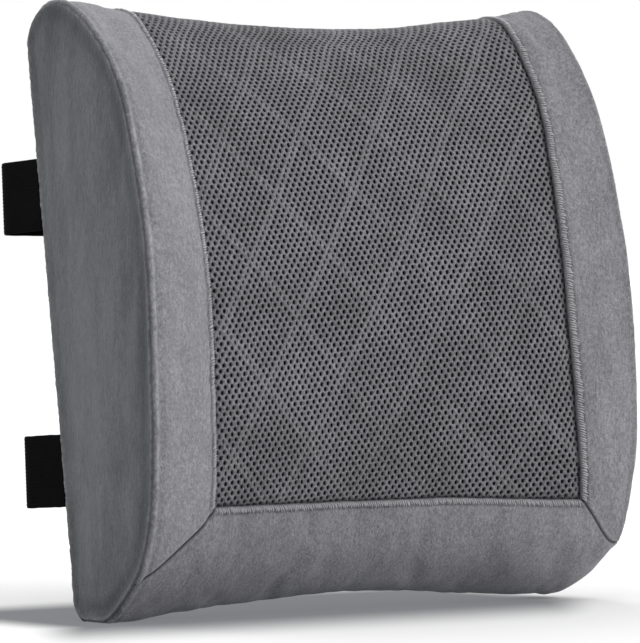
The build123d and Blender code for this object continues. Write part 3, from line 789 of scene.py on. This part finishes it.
def back_panel(name, upper):
    cx = np.r_[-cols(HW, HW - 24, 0.6, 2.4, 6.0), np.linspace(-HW + 24, HW - 24, 120)[1:-1], cols(HW, HW - 24, 0.6, 2.4, 6.0)[::-1]]
    top = base(np.full_like(cx, TT_END), cx)
    low = base(np.zeros_like(cx), cx)
    bt = (top[:, 2] - 150.0) / COSL                      # b of the top end
    rise = low[:, 2] - 0.0
    bl = B_LOW + rise
    rows = []
    dslot = []
    if upper:
        b0 = 6.0
        # the turned-in hem, then up the back, then over to the top edge
        for dep, b in ((-2.2, 9.0), (-2.2, 6.8), (-1.6, 6.15), (-0.9, 5.95), (-0.35, 6.15), (0.0, 6.7)):
            rows.append(at_back(np.full_like(cx, b), dep, cx))
            dslot.append(np.full_like(cx, max(0.0, dep + 0.9)))
        for f in np.r_[np.linspace(0, 0.12, 30)[1:], np.linspace(0.12, 1.0, 90)[1:]]:
            b = 6.7 + f * (bt - 6.7)
            P = at_back(b, 0.0, cx)
            k = sstep(0.93, 1.0, f)
            P = P * (1 - k) + (top * k + P * 0)
            rows.append(P)
            dslot.append(b - 6.0)
    else:
        for dep, b in ((-2.2, -9.0), (-2.2, -6.8), (-1.6, -6.15), (-0.9, -5.95), (-0.35, -6.15), (0.0, -6.7)):
            rows.append(at_back(np.full_like(cx, b), dep, cx))
            dslot.append(np.full_like(cx, max(0.0, dep + 0.9)))
        for f in np.r_[np.linspace(0, 0.2, 30)[1:], np.linspace(0.2, 1.0, 60)[1:]]:
            b = -6.7 + f * (bl + 6.7)
            rows.append(at_back(b, 0.0, cx))
            dslot.append(-6.0 - b)
        P0 = at_back(bl, 0.0, cx)
        for f in np.linspace(0, 1, 14)[1:]:
            # curve under to the base's rear edge
            h00, h10, h01, h11 = 2 * f ** 3 - 3 * f ** 2 + 1, f ** 3 - 2 * f ** 2 + f, -2 * f ** 3 + 3 * f ** 2, f ** 3 - f ** 2
            T0 = np.array([0, -SINL, -COSL]) * 13
            T1 = np.array([0, -1.0, 0]) * 13
            P = P0 * h00 + T0 * h10 + low * h01 + T1 * h11
            rows.append(P)
            dslot.append(-6.0 - bl + 13 * f)
    P = np.array(rows)
    D = np.array(dslot)
    X2 = np.broadcast_to(cx[None, :], D.shape)
    ds_ = HW - np.abs(X2)
    h1, s1 = side_ridge(ds_, D, 60 if upper else 66)
    hem = np.exp(-((D - 7.0) / 0.8) ** 2)
    puff = 0.9 * sstep(1.0, 22.0, np.minimum(ds_, D))
    wr = 0.45 * noise2(D / 34.0, X2 / 40.0 + (3 if upper else 8), 51) + 0.16 * noise2(D / 9.0, X2 / 11.0, 52)
    h = (h1 + puff + wr * sstep(1, 16, np.minimum(ds_, D)) - 0.5 * hem) * sstep(-0.5, 1.5, D)
    k = np.zeros_like(D)
    if upper:
        k = sstep(0.96, 1.0, D / D.max(0)[None, :])
    else:
        k = sstep(0.94, 1.0, D / D.max(0)[None, :]) * 0.9
    h = h * (1 - k) + 0.3 * k
    out = np.array([0, COSL, -SINL])
    gy = np.gradient(P, axis=0)
    gx = np.gradient(P, axis=1)
    n = np.cross(gy, gx)
    n /= np.linalg.norm(n, axis=-1)[..., None] + 1e-9
    if n[40, 60] @ out < 0:
        n = -n
    P = P + n * h[..., None]
    # follow the soft right edge
    right = np.clip(X2, 0, None)
    e = 3.0 * sstep(130, HW, right)
    P[..., 0] -= e
    P = settle(P)
    # painted shade at the hem and in the side seam's groove, painted highlight on its ridge
    sh = np.clip(s1 - 0.18 * hem, 0, 1)
    ob = mesh_piece(name, P, grid_faces(P.shape[0], P.shape[1], flip=not upper), attrs={"shade": sh})
    return ob


ob = back_panel("cover_back_upper", True)
done(ob, "cushion", "velour_side", VELS, "back_panel_upper")
ob = back_panel("cover_back_lower", False)
done(ob, "cushion", "velour_side", VELS, "back_panel_lower")

# ------------------------------------------------------------------ gussets: the outline is the front curve and the back, filled in rings
tt = np.linspace(0, TT_END, 400)
fr = base(tt, np.full_like(tt, HW))[:, 1:]                # y, z
bb = np.linspace((fr[-1, 1] - 150) / COSL, B_LOW, 250)
bk = at_back(bb, 0.0, 0.0)[:, 1:]
pl = bk[-1]
p0 = fr[0]
fs = np.linspace(0, 1, 16)[1:-1]
h00, h10, h01, h11 = 2 * fs ** 3 - 3 * fs ** 2 + 1, fs ** 3 - 2 * fs ** 2 + fs, -2 * fs ** 3 + 3 * fs ** 2, fs ** 3 - fs ** 2
cn = (pl * h00[:, None] + np.array([-SINL, -COSL]) * 13 * h10[:, None] + p0 * h01[:, None] + np.array([-1.0, 0]) * 13 * h11[:, None])
outline = np.concatenate([fr, bk[1:], cn])
o_t = np.concatenate([tt, np.full(len(outline) - len(tt), -1.0)])
_d = np.r_[0, np.cumsum(np.linalg.norm(np.diff(np.vstack([outline, outline[:1]]), axis=0), axis=1))]
NB_O = 640
_q = np.linspace(0, _d[-1], NB_O, endpoint=False)
closed = np.vstack([outline, outline[:1]])
ol = np.stack([np.interp(_q, _d, closed[:, 0]), np.interp(_q, _d, closed[:, 1])], 1)
ol_t = np.interp(_q, _d[:-1], np.where(o_t < 0, np.nan, o_t))
on_front = _q <= _d[len(tt) - 1]
spine = np.array([(-27.0 + YS, 46.0), (-27.0 + YS, 90.0), (-22.0 + YS, 150.0), (-14.0 + YS, 205.0), (2.0 + YS, 262.0), (13.0 + YS, 290.0)])


def nearest_on_spine(p):
    best = None
    for a, b in zip(spine[:-1], spine[1:]):
        ab = b - a
        f = np.clip(((p - a) @ ab) / (ab @ ab), 0, 1)
        c = a + f[:, None] * ab
        d = np.linalg.norm(p - c, axis=1)
        if best is None:
            best, bd = c, d
        else:
            m = d < bd
            best = np.where(m[:, None], c, best)
            bd = np.where(m, d, bd)
    return best, bd


sp, spd = nearest_on_spine(ol)
k = np.hanning(61)
k /= k.sum()
sp = np.stack([np.convolve(np.r_[sp[-30:, i], sp[:, i], sp[:30, i]], k, "valid") for i in (0, 1)], 1)
spd = np.linalg.norm(ol - sp, axis=1)
dist_steps = np.r_[np.arange(0, 5.0, 0.5), np.arange(5.0, 16.0, 1.0)]
rings = []
for dstep in dist_steps:
    f = np.minimum(dstep / spd, 0.85)
    rings.append(ol + (sp - ol) * f[:, None])
RG = np.array(rings)                     # ring, point, (y z)
NR = len(RG)
RD = np.broadcast_to(dist_steps[:, None], RG.shape[:2]).copy()
et = np.where(on_front, edge_in(np.nan_to_num(ol_t)), 3.0)
_k = np.hanning(25)
_k /= _k.sum()
et = np.convolve(np.r_[et[-12:], et, et[:12]], _k, "valid")
# inside the last ring: straight rows from its front half to its back half
HALF = NB_O // 2
S0 = int(np.argmin(np.abs(_q - 18.0)))
NCOL = 30
last = RG[-1]
inner_pts = []
for i in range(1, HALF):
    a_, b_ = last[(S0 + i) % NB_O], last[(S0 - i) % NB_O]
    for c_ in range(1, NCOL):
        inner_pts.append(a_ + (b_ - a_) * (c_ / NCOL))
inner_pts = np.array(inner_pts)
d_in = np.full(len(inner_pts), 1e9)
for c0 in range(0, NB_O, 64):
    dd_ = np.linalg.norm(inner_pts[:, None, :] - ol[None, c0:c0 + 64, :], axis=2).min(1)
    d_in = np.minimum(d_in, dd_)


def et_near(pts):
    out_ = np.zeros(len(pts))
    best = np.full(len(pts), 1e9)
    for c0 in range(0, NB_O, 64):
        dd_ = np.linalg.norm(pts[:, None, :] - ol[None, c0:c0 + 64, :], axis=2)
        k_ = dd_.argmin(1)
        m_ = dd_[np.arange(len(pts)), k_]
        out_ = np.where(m_ < best, et[c0 + k_], out_)
        best = np.minimum(best, m_)
    return out_


et_in = et_near(inner_pts)
gus_faces = []
i, j = np.meshgrid(np.arange(NR - 1), np.arange(NB_O), indexing="ij")
a = i * NB_O + j
b = i * NB_O + (j + 1) % NB_O
gus_faces.append(np.stack([a, b, b + NB_O, a + NB_O], -1).reshape(-1, 4))
L0 = (NR - 1) * NB_O


def gid(i_, c_):
    if c_ == 0:
        return L0 + (S0 + i_) % NB_O
    if c_ == NCOL:
        return L0 + (S0 - i_) % NB_O
    return NR * NB_O + (i_ - 1) * (NCOL - 1) + c_ - 1


gq = []
for i_ in range(1, HALF - 1):
    for c_ in range(NCOL):
        gq.append([gid(i_, c_), gid(i_, c_ + 1), gid(i_ + 1, c_ + 1), gid(i_ + 1, c_)][::-1])
gt = []
for c_ in range(NCOL):
    gt.append([L0 + S0 % NB_O, gid(1, c_ + 1), gid(1, c_)][::1])
    gt.append([L0 + (S0 + HALF) % NB_O, gid(HALF - 1, c_), gid(HALF - 1, c_ + 1)][::1])
G_YZ = np.concatenate([RG.reshape(-1, 2), inner_pts])
G_D = np.concatenate([RD.ravel(), d_in])
G_ARC = np.concatenate([np.broadcast_to(_q[None, :], RD.shape).ravel(), np.zeros(len(inner_pts))])
G_ET = np.concatenate([np.broadcast_to(et[None, :], RD.shape).ravel(), et_in])
G_FRONT = np.concatenate([np.broadcast_to(np.where(on_front, 1.0, 0.45)[None, :], RD.shape).ravel(), np.full(len(inner_pts), 0.6)])
for side, sg in (("left", -1), ("right", 1)):
    seed = 90 if sg < 0 else 130
    pk = 0.5 + 0.45 * noise2(G_ARC / 1.25, G_D * 0 + seed, 61) + 0.22 * noise2(G_ARC / 3.4, G_D / 2 + seed, 62)
    ridge = np.exp(-((G_D - 1.8) / 1.05) ** 2)
    groove = np.exp(-(G_D / 0.80) ** 2)
    valley = np.exp(-((G_D - 6.2) / 3.2) ** 2)
    bulge = 2.6 * sstep(5.0, 44.0, G_D)
    wr = (0.60 * noise2(G_YZ[:, 1] / 38.0, G_YZ[:, 0] / 24.0 + seed, 63) + 0.24 * noise2(G_YZ[:, 1] / 13.0, G_YZ[:, 0] / 11.0 + seed, 64))
    tug = 0.22 * noise2(G_ARC / 4.2, G_D * 0 + seed, 65) * np.exp(-G_D / 6.0)
    h = 0.05 + ridge * (0.45 + 0.55 * pk) - 1.3 * groove - 0.75 * valley + bulge + wr * sstep(3, 16, G_D) + tug
    X = HW + h
    if sg > 0:
        X = X - G_ET * (1 - sstep(0.0, 34.0, G_D))
    P = np.stack([sg * X, G_YZ[:, 0], G_YZ[:, 1]], -1)
    P = settle(P)
    # painted shade: a dark band in the valley beside the seam, stronger along the front; painted highlight on the
    # puckered ridge and painted shade in its groove; also darker towards the top
    band = np.exp(-((G_D - 7.5) / 4.5) ** 2) * G_FRONT
    sh = 0.5 + ridge * (0.14 + 0.40 * (pk - 0.5)) - 0.47 * groove - 0.10 * band - 0.06 * sstep(200.0, 310.0, G_YZ[:, 1])
    F = np.concatenate(gus_faces).tolist() + gq + gt
    if sg < 0:
        F = [f_[::-1] for f_ in F]
    ob = mesh_piece(f"cover_gusset_{side}", P, F, attrs={"shade": np.clip(sh, 0, 1)})
    done(ob, "cushion", "velour_side", VELS, f"gusset_{side}")

# ------------------------------------------------------------------ stitches
def threads(name, segs, r, body, slot, mat, rings_n=5, sides=6):
    """Small rounded thread lengths, each from p0 over a crest to p1."""
    V, F = [], []
    for p0, p1, up, rad in segs:
        d = p1 - p0
        ln = np.linalg.norm(d)
        d = d / (ln + 1e-9)
        w = np.cross(d, up)
        w /= np.linalg.norm(w) + 1e-9
        u = np.cross(w, d)
        b0 = len(V)
        for k in range(rings_n):
            f = k / (rings_n - 1)
            c = p0 + (p1 - p0) * f + up * rad * (1.3 * math.sin(math.pi * f) - 0.5)
            rr = rad * (0.35 + 0.65 * math.sin(math.pi * (0.12 + 0.76 * f)))
            for s_ in range(sides):
                a_ = 2 * math.pi * s_ / sides
                V.append(c + w * rr * math.cos(a_) + u * rr * math.sin(a_))
        for k in range(rings_n - 1):
            for s_ in range(sides):
                a_ = b0 + k * sides + s_
                b_ = b0 + k * sides + (s_ + 1) % sides
                F.append([a_, b_, b_ + sides, a_ + sides])
        F.append([b0 + s_ for s_ in range(sides)][::-1])
        F.append([b0 + (rings_n - 1) * sides + s_ for s_ in range(sides)])
    ob = mesh_piece(name, np.array(V), F)
    return done(ob, body, slot, mat)


def frame_at(t, x, h):
    p = settle(surf(t, x, h))
    n = normal(np.asarray(t, float), np.asarray(x, float))
    return p, n


segs = []
r = np.random.default_rng(3)
for sg in (-1, 1):
    n = int((TT_END - t_at_z(60, MH)) / 1.35)
    for k in range(n):
        t = float(t60(sg * MH)) + (k + 0.5) * 1.35 + r.normal(0, 0.12)
        if t > TT_END - 1:
            continue
        d0, d1 = 0.5 + r.uniform(-0.2, 0.3), 3.5 + r.uniform(-0.7, 0.7)
        sl = -1.1 + r.normal(0, 0.25)
        a, na = frame_at(t, sg * (MH + d0), 0.75)
        b, _ = frame_at(t + sl, sg * (MH + d1), 0.98)
        segs.append((a, b, na, 0.27 + r.uniform(-0.04, 0.06)))
n = int(2 * MH / 1.35)
for k in range(n):
    x = -MH + (k + 0.5) * 1.35 + r.normal(0, 0.12)
    d0, d1 = 0.5 + r.uniform(-0.2, 0.3), 3.3 + r.uniform(-0.7, 0.7)
    sl = 0.9 + r.normal(0, 0.3)
    tb = float(t60(x))
    a, na = frame_at(tb - d0, x, 0.75)
    b, _ = frame_at(tb - d1, x + sl, 0.98)
    segs.append((a, b, na, 0.27 + r.uniform(-0.04, 0.06)))
threads("edge_stitching", segs, 0.2, "cushion", "thread", THREAD)

# ------------------------------------------------------------------ webbing loops
DROOP = math.radians(3.5)
UV_V = np.array([0, math.cos(DROOP), -math.sin(DROOP)])
UV_W = np.array([0, math.sin(DROOP), math.cos(DROOP)])
RUN = 42.8


def root_at(zc):
    tz = (zc - 8.0) / COSL
    return np.array([0, 1.3 + YS + SINL * tz, zc])


def arc_pts(cx_, cy_, rad, a0, a1, n):
    a_ = np.linspace(math.radians(a0), math.radians(a1), n)
    return [(cx_ + rad * math.cos(v_), cy_ + rad * math.sin(v_)) for v_ in a_]


def strap(name, zc, d, bar, tail, nodes):
    e = HW - 1.0 + 0.2
    pts = [(d * e, y) for y in np.linspace(-1.2, RUN - 14.0, 16)]
    pts += [(d * (e - 14.0 + 14.0 * math.cos(a_)), RUN - 14.0 + 14.0 * math.sin(a_)) for a_ in np.linspace(0, math.pi / 2, 14)[1:]]
    pts += [(x, RUN) for x in np.linspace(d * (e - 14.0), bar, 46)[1:]]
    # round the bar, to the inside, and back
    pts += [(bar - d * 3.0 * math.sin(a_), RUN - 3.0 + 3.0 * math.cos(a_)) for a_ in np.linspace(0, math.pi, 14)[1:]]
    pts += [(bar + d * 5.0, RUN - 6.0)]
    for f in np.linspace(0, 1, 9)[1:]:
        pts.append((bar + d * (5.0 + 12.0 * f), RUN - 6.0 + 3.7 * (3 * f * f - 2 * f ** 3)))
    pts += [(bar + d * (17.0 + q_), RUN - 2.3) for q_ in np.linspace(0, tail, 14)[1:]]
    pts = np.array(pts)
    tg = np.gradient(pts, axis=0)
    tg /= np.linalg.norm(tg, axis=1)[:, None] + 1e-9
    nn = np.stack([-tg[:, 1], tg[:, 0]], 1) * -d                 # towards the outside of the loop
    # section: ribs along the webbing on both faces, rounded selvedges
    W = 19.0
    ws = np.linspace(-W + 0.7, W - 0.7, 78)
    rib = 0.10 * np.cos(2 * math.pi * ws / 1.9)
    up = np.stack([ws, 0.86 + rib], 1)
    dn = np.stack([ws[::-1], -0.86 - rib[::-1]], 1)
    e1 = np.array([(W - 0.25, 0.62), (W, 0.0), (W - 0.25, -0.62)])
    e2 = -e1
    sec = np.concatenate([up, e1, dn, e2])
    root = root_at(zc)
    n, m = len(pts), len(sec)
    wob = 0.16 * noise2(np.arange(n) / 3.0, np.arange(n) * 0 + zc / 7 + d, 71)
    V = np.zeros((n, m, 3))
    for i in range(n):
        c = root + np.array([pts[i, 0], 0, 0]) + UV_V * pts[i, 1]
        nv = np.array([nn[i, 0], 0, 0]) + UV_V * nn[i, 1]
        V[i] = c + np.outer(sec[:, 0] + wob[i], UV_W) + np.outer(sec[:, 1] * 0.98, nv)
    F = []
    ii_, jj_ = np.meshgrid(np.arange(n - 1), np.arange(m), indexing="ij")
    a_ = ii_ * m + jj_
    b_ = ii_ * m + (jj_ + 1) % m
    F = np.stack([a_, b_, b_ + m, a_ + m], -1).reshape(-1, 4)
    if d > 0:
        F = F[:, ::-1]
    F = F.tolist()
    # caps as strips across the thickness
    for end, fl in ((0, False), (n - 1, True)):
        o = end * m
        ring_ = [o + q_ for q_ in range(m)]
        half = 78
        for q_ in range(half - 1):
            quad = [o + q_, o + q_ + 1, o + (half + 3 + half - 1) - q_ - 1, o + (half + 3 + half - 1) - q_]
            F.append(quad if (fl == (d < 0)) else quad[::-1])
    return mesh_piece(name, V.reshape(-1, 3), F)


BUCK = {}
for lv, zc in (("upper", 221.6), ("lower", 77.6)):
    ob = strap(f"{lv}_webbing_left", zc, -1, -31.0, 24.0, None)
    done(ob, "cushion", "webbing", WEB, f"{lv}_strap_left")
    ob = strap(f"{lv}_webbing_right", zc, 1, 27.0, 62.0, None)
    ob.data.materials.append(WEB)
    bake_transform(ob)
    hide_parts(f"{lv}_strap_right")
    # box of tack stitches through the fold
    root = root_at(zc)
    segs = []
    for u0 in (-53.0, -67.0):
        for k in range(26):
            w0 = -15.6 + k * 1.25
            a = root + np.array([u0 - 1.1, 0, 0]) + UV_V * (RUN + 0.98) + UV_W * w0
            b = root + np.array([u0 + 1.1, 0, 0]) + UV_V * (RUN + 0.98) + UV_W * (w0 + 0.7)
            segs.append((a, b, UV_V, 0.27))
            a = root + np.array([u0 + 1.1, 0, 0]) + UV_V * (RUN + 0.98) + UV_W * (w0 + 0.7)
            b = root + np.array([u0 - 1.1, 0, 0]) + UV_V * (RUN + 0.98) + UV_W * (w0 + 1.25)
            segs.append((a, b, UV_V, 0.27))
    ob = threads(f"{lv}_tack_stitches", segs, 0.27, "cushion", "thread", THREAD_DARK)
    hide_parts(f"{lv}_strap_bartacks")
    for part in ("buckle_socket", "buckle_plug", "buckle_prong_high", "buckle_prong_low", "strap_keeper"):
        o = NODES[f"{lv}_{part}"]
        o.data.materials.clear()
        o.data.materials.append(BUCKLE)

for nme in ("zipper_slider", "zipper_pull", "zipper_end_stops"):
    o = NODES[nme]
    o.data.materials.clear()
    o.data.materials.append(METAL)

# ------------------------------------------------------------------ zipper tapes and coils
for nme, sg in (("upper", 1), ("lower", -1)):
    xs_ = np.linspace(-160.0, 160.0, 400)
    bs_ = np.r_[np.linspace(1.4, 6.5, 14), np.linspace(6.5, 16.0, 8)[1:]] * sg
    X, Bv = np.meshgrid(xs_, bs_)
    dep = -1.85 + 0.05 * np.cos(2 * math.pi * X / 1.1) * np.cos(2 * math.pi * Bv / 1.4) + 0.06 * noise2(X / 14, Bv / 5, 81)
    topv = at_back(Bv, dep, X)
    botv = at_back(Bv, dep * 0 - 2.45, X)
    V = np.concatenate([topv.reshape(-1, 3), botv.reshape(-1, 3)])
    nr, nc = X.shape
    F1 = grid_faces(nr, nc, flip=sg > 0).tolist()
    F2 = (grid_faces(nr, nc, flip=sg < 0) + nr * nc).tolist()
    edge = []
    for j in range(nc - 1):
        edge.append([j, j + 1, nr * nc + j + 1, nr * nc + j])
        o_ = (nr - 1) * nc
        edge.append([o_ + j, nr * nc + o_ + j, nr * nc + o_ + j + 1, o_ + j + 1])
    ob = mesh_piece(f"zip_tape_{nme}", V, F1 + F2 + edge)
    done(ob, "cushion", "zipper_tape", TAPE, f"zipper_tape_{nme}")
    segs = []
    nv = np.array([0, COSL, -SINL])
    for k in range(int(296 / 1.5)):
        x0 = -148 + (k + (0.5 if sg > 0 else 0.0)) * 1.5
        a = at_back(0.15 * sg, -1.15, x0 + 0.25)[()]
        b = at_back(2.9 * sg, -1.25, x0 - 0.25)[()]
        segs.append((a, b, nv, 0.46))
        segs.append((at_back(-0.45 * sg, -0.95, x0), at_back(0.55 * sg, -0.95, x0), nv, 0.55))
    ob = threads(f"zip_coil_{nme}", segs, 0.45, "cushion", "zipper_coil", COIL)
    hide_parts(f"zipper_coil_{nme}")
    # hem stitches beside the slot
    segs = []
    for k in range(int(318 / 3.0)):
        x0 = -159 + k * 3.0
        a = at_back(13.0 * sg, 0.55, x0)
        b = at_back(13.0 * sg, 0.55, x0 + 2.3)
        segs.append((a, b, nv, 0.26))
    threads(f"hem_stitching_{nme}", segs, 0.26, "cushion", "thread", THREAD_DARK)

# ------------------------------------------------------------------ foam core and its liner, closed crowned forms inside the cover
FOAM = cloth_mat("memory_foam", (0.62, 0.58, 0.48), (0.80, 0.76, 0.66), 1500.0, 0.9, (1, 1, 1), 0.0, 0.0004)
LINERM = cloth_mat("liner_knit", (0.70, 0.70, 0.69), (0.86, 0.86, 0.85), 1800.0, 0.85, (1, 1, 0.6), 0.1)


def core(name, inset, nx, nt, corner):
    end = HW - inset - 1.5
    xs_ = np.linspace(-end, end, nx)
    tt_ = np.linspace(0, TT_END, nt)
    X, Tt = np.meshgrid(xs_, tt_)
    f1 = base(Tt, X) - normal(Tt, X) * inset
    f1[..., 2] = np.maximum(f1[..., 2], inset)
    lowz, topz = f1[0], f1[-1]
    nb_ = nt // 2
    rows = []
    for f in np.linspace(0, 1, nb_ + 2)[1:-1]:
        bt_ = (topz[:, 2] - 150) / COSL
        bl_ = (np.maximum(lowz[:, 2], 6.0) - 150) / COSL + 4
        rows.append(at_back(bt_ + (bl_ - bt_) * f, -inset, xs_))
    loop = np.concatenate([f1, np.array(rows)])
    n_, m_ = loop.shape[0], loop.shape[1]
    mid = loop.mean(0, keepdims=True)
    # draw the ends in to a soft rounded edge
    e_ = np.clip((np.abs(xs_) - (end - corner)) / corner, 0, 1)
    sc_ = 1 - (1 - np.sqrt(1 - 0.92 * e_ ** 2)) * 0.10
    loop = mid + (loop - mid) * sc_[None, :, None]
    V = loop.transpose(1, 0, 2).reshape(-1, 3)
    i_, j_ = np.meshgrid(np.arange(m_ - 1), np.arange(n_), indexing="ij")
    a_ = i_ * n_ + j_
    b_ = i_ * n_ + (j_ + 1) % n_
    F = np.stack([a_, a_ + n_, b_ + n_, b_], -1).reshape(-1, 4).tolist()
    V = list(V)
    for end_i, fl in ((0, True), (m_ - 1, False)):
        ringv = np.array([V[end_i * n_ + q_] for q_ in range(n_)])
        prev = end_i * n_
        last = None
        for f in (0.85, 0.6, 0.3):
            st_ = len(V)
            c_ = ringv.mean(0)
            pr = c_ + (ringv - c_) * f
            pr[:, 0] += (1 if end_i else -1) * (1 - f) * 1.5
            V.extend(list(pr))
            for q_ in range(n_):
                q4 = [prev + q_, prev + (q_ + 1) % n_, st_ + (q_ + 1) % n_, st_ + q_]
                F.append(q4 if fl else q4[::-1])
            prev = st_
        V.append(ringv.mean(0) + np.array([(1 if end_i else -1) * 1.8, 0, 0]))
        for q_ in range(n_):
            t3 = [prev + q_, prev + (q_ + 1) % n_, len(V) - 1]
            F.append(t3 if fl else t3[::-1])
    V = np.array(V)
    V[:, 0] -= 9.5 * sstep(105.0, HW, V[:, 0]) * (1 - 0.4 * sstep(90.0, 180.0, V[:, 2]))
    V = settle(V)
    lift_ = 4.0 * sstep(105.0, 145.0, V[:, 0]) * (1 - sstep(12.0, 64.0, V[:, 2]))
    V[:, 2] += lift_
    return mesh_piece(name, V, F)


ob = core("foam_pad", 6.0, 60, 120, 10.0)
done(ob, "cushion", "foam", FOAM, "foam_core")
ob = core("foam_liner", 4.4, 60, 120, 9.0)
done(ob, "cushion", "liner", LINERM, "inner_liner")

# ------------------------------------------------------------------ floor, light, finish
me = bpy.data.meshes.new("floor")
me.from_pydata([(-30, -30, 0), (30, -30, 0), (30, 30, 0), (-30, 30, 0)], [], [[0, 1, 2, 3]])
floor = bpy.data.objects.new("floor", me)
SC.collection.objects.link(floor)
fm, nt, b = new_mat("studio_floor")
b.inputs["Base Color"].default_value = (0.80, 0.80, 0.80, 1)
b.inputs["Roughness"].default_value = 0.75
b.inputs["Specular IOR Level"].default_value = 0.1
# a painted shadow: the soft pool of shade that the cushion stands in, laid on the floor itself as unlit emission
tc = nt.nodes.new("ShaderNodeTexCoord")
sx = nt.nodes.new("ShaderNodeSeparateXYZ")
nt.links.new(tc.outputs["Object"], sx.inputs[0])
fx, fy = sx.outputs[0], sx.outputs[1]
fwd = math_node(nt, "MAXIMUM", math_node(nt, "MULTIPLY_ADD", fy, -1.0, -0.045), 0.0)
xs_sh = math_node(nt, "MULTIPLY_ADD", fwd, 0.75, fx)
ex_ = math_node(nt, "MAXIMUM", math_node(nt, "SUBTRACT", math_node(nt, "ABSOLUTE", math_node(nt, "ADD", xs_sh, 0.032)), 0.153), 0.0)
ey_ = math_node(nt, "MAXIMUM", math_node(nt, "SUBTRACT", math_node(nt, "ABSOLUTE", math_node(nt, "ADD", fy, -0.010)), 0.058), 0.0)
behind = math_node(nt, "GREATER_THAN", fy, 0.010)
ey_ = math_node(nt, "MULTIPLY", ey_, math_node(nt, "MULTIPLY_ADD", behind, 0.9, 1.0))
ex2 = math_node(nt, "POWER", math_node(nt, "MULTIPLY", ex_, 2.9), 2.0)
dist_ = math_node(nt, "SQRT", math_node(nt, "ADD", ex2, math_node(nt, "POWER", ey_, 2.0)))
mr = nt.nodes.new("ShaderNodeMapRange")
mr.interpolation_type = "SMOOTHSTEP"
mr.inputs["From Min"].default_value = -0.020
mr.inputs["From Max"].default_value = 0.115
nt.links.new(dist_, mr.inputs["Value"])
em = nt.nodes.new("ShaderNodeEmission")
em.inputs["Color"].default_value = (0.205, 0.210, 0.222, 1)
em.inputs["Strength"].default_value = 1.0
mx = nt.nodes.new("ShaderNodeMixShader")
nt.links.new(mr.outputs["Result"], mx.inputs[0])
nt.links.new(em.outputs[0], mx.inputs[1])
nt.links.new(b.outputs[0], mx.inputs[2])
nt.links.new(mx.outputs[0], [n_ for n_ in nt.nodes if n_.type == "OUTPUT_MATERIAL"][0].inputs[0])
me.materials.append(fm)

world = bpy.data.worlds.new("studio")
SC.world = world
world.use_nodes = True
bg = world.node_tree.nodes.get("Background") or world.node_tree.nodes.new("ShaderNodeBackground")
bg.inputs[0].default_value = (1.0, 1.0, 1.0, 1)
bg.inputs[1].default_value = 1.0


def area(name, loc, at, size, power, col=(1, 1, 1), size_y=None):
    ld = bpy.data.lights.new(name, "AREA")
    ld.energy = power
    ld.size = size
    if size_y:
        ld.shape = "RECTANGLE"
        ld.size_y = size_y
    ld.color = col
    lo = bpy.data.objects.new(name, ld)
    SC.collection.objects.link(lo)
    lo.location = loc
    d = Vector(at) - Vector(loc)
    lo.rotation_euler = d.to_track_quat("-Z", "Y").to_euler()
    return lo


def sun(name, frm, power, spread):
    ld = bpy.data.lights.new(name, "SUN")
    ld.energy = power
    ld.angle = math.radians(spread)
    lo = bpy.data.objects.new(name, ld)
    SC.collection.objects.link(lo)
    lo.location = frm
    lo.rotation_euler = (-Vector(frm)).to_track_quat("-Z", "Y").to_euler()
    return lo


sun("key", (2.2, -3.2, 1.9), 1.55, 40)
sun("fill", (-2.5, -0.8, 1.6), 0.42, 60)
sun("back", (0.3, 2.2, 2.0), 0.7, 50)

SC.view_settings.view_transform = "Standard"
SC.view_settings.look = "None"
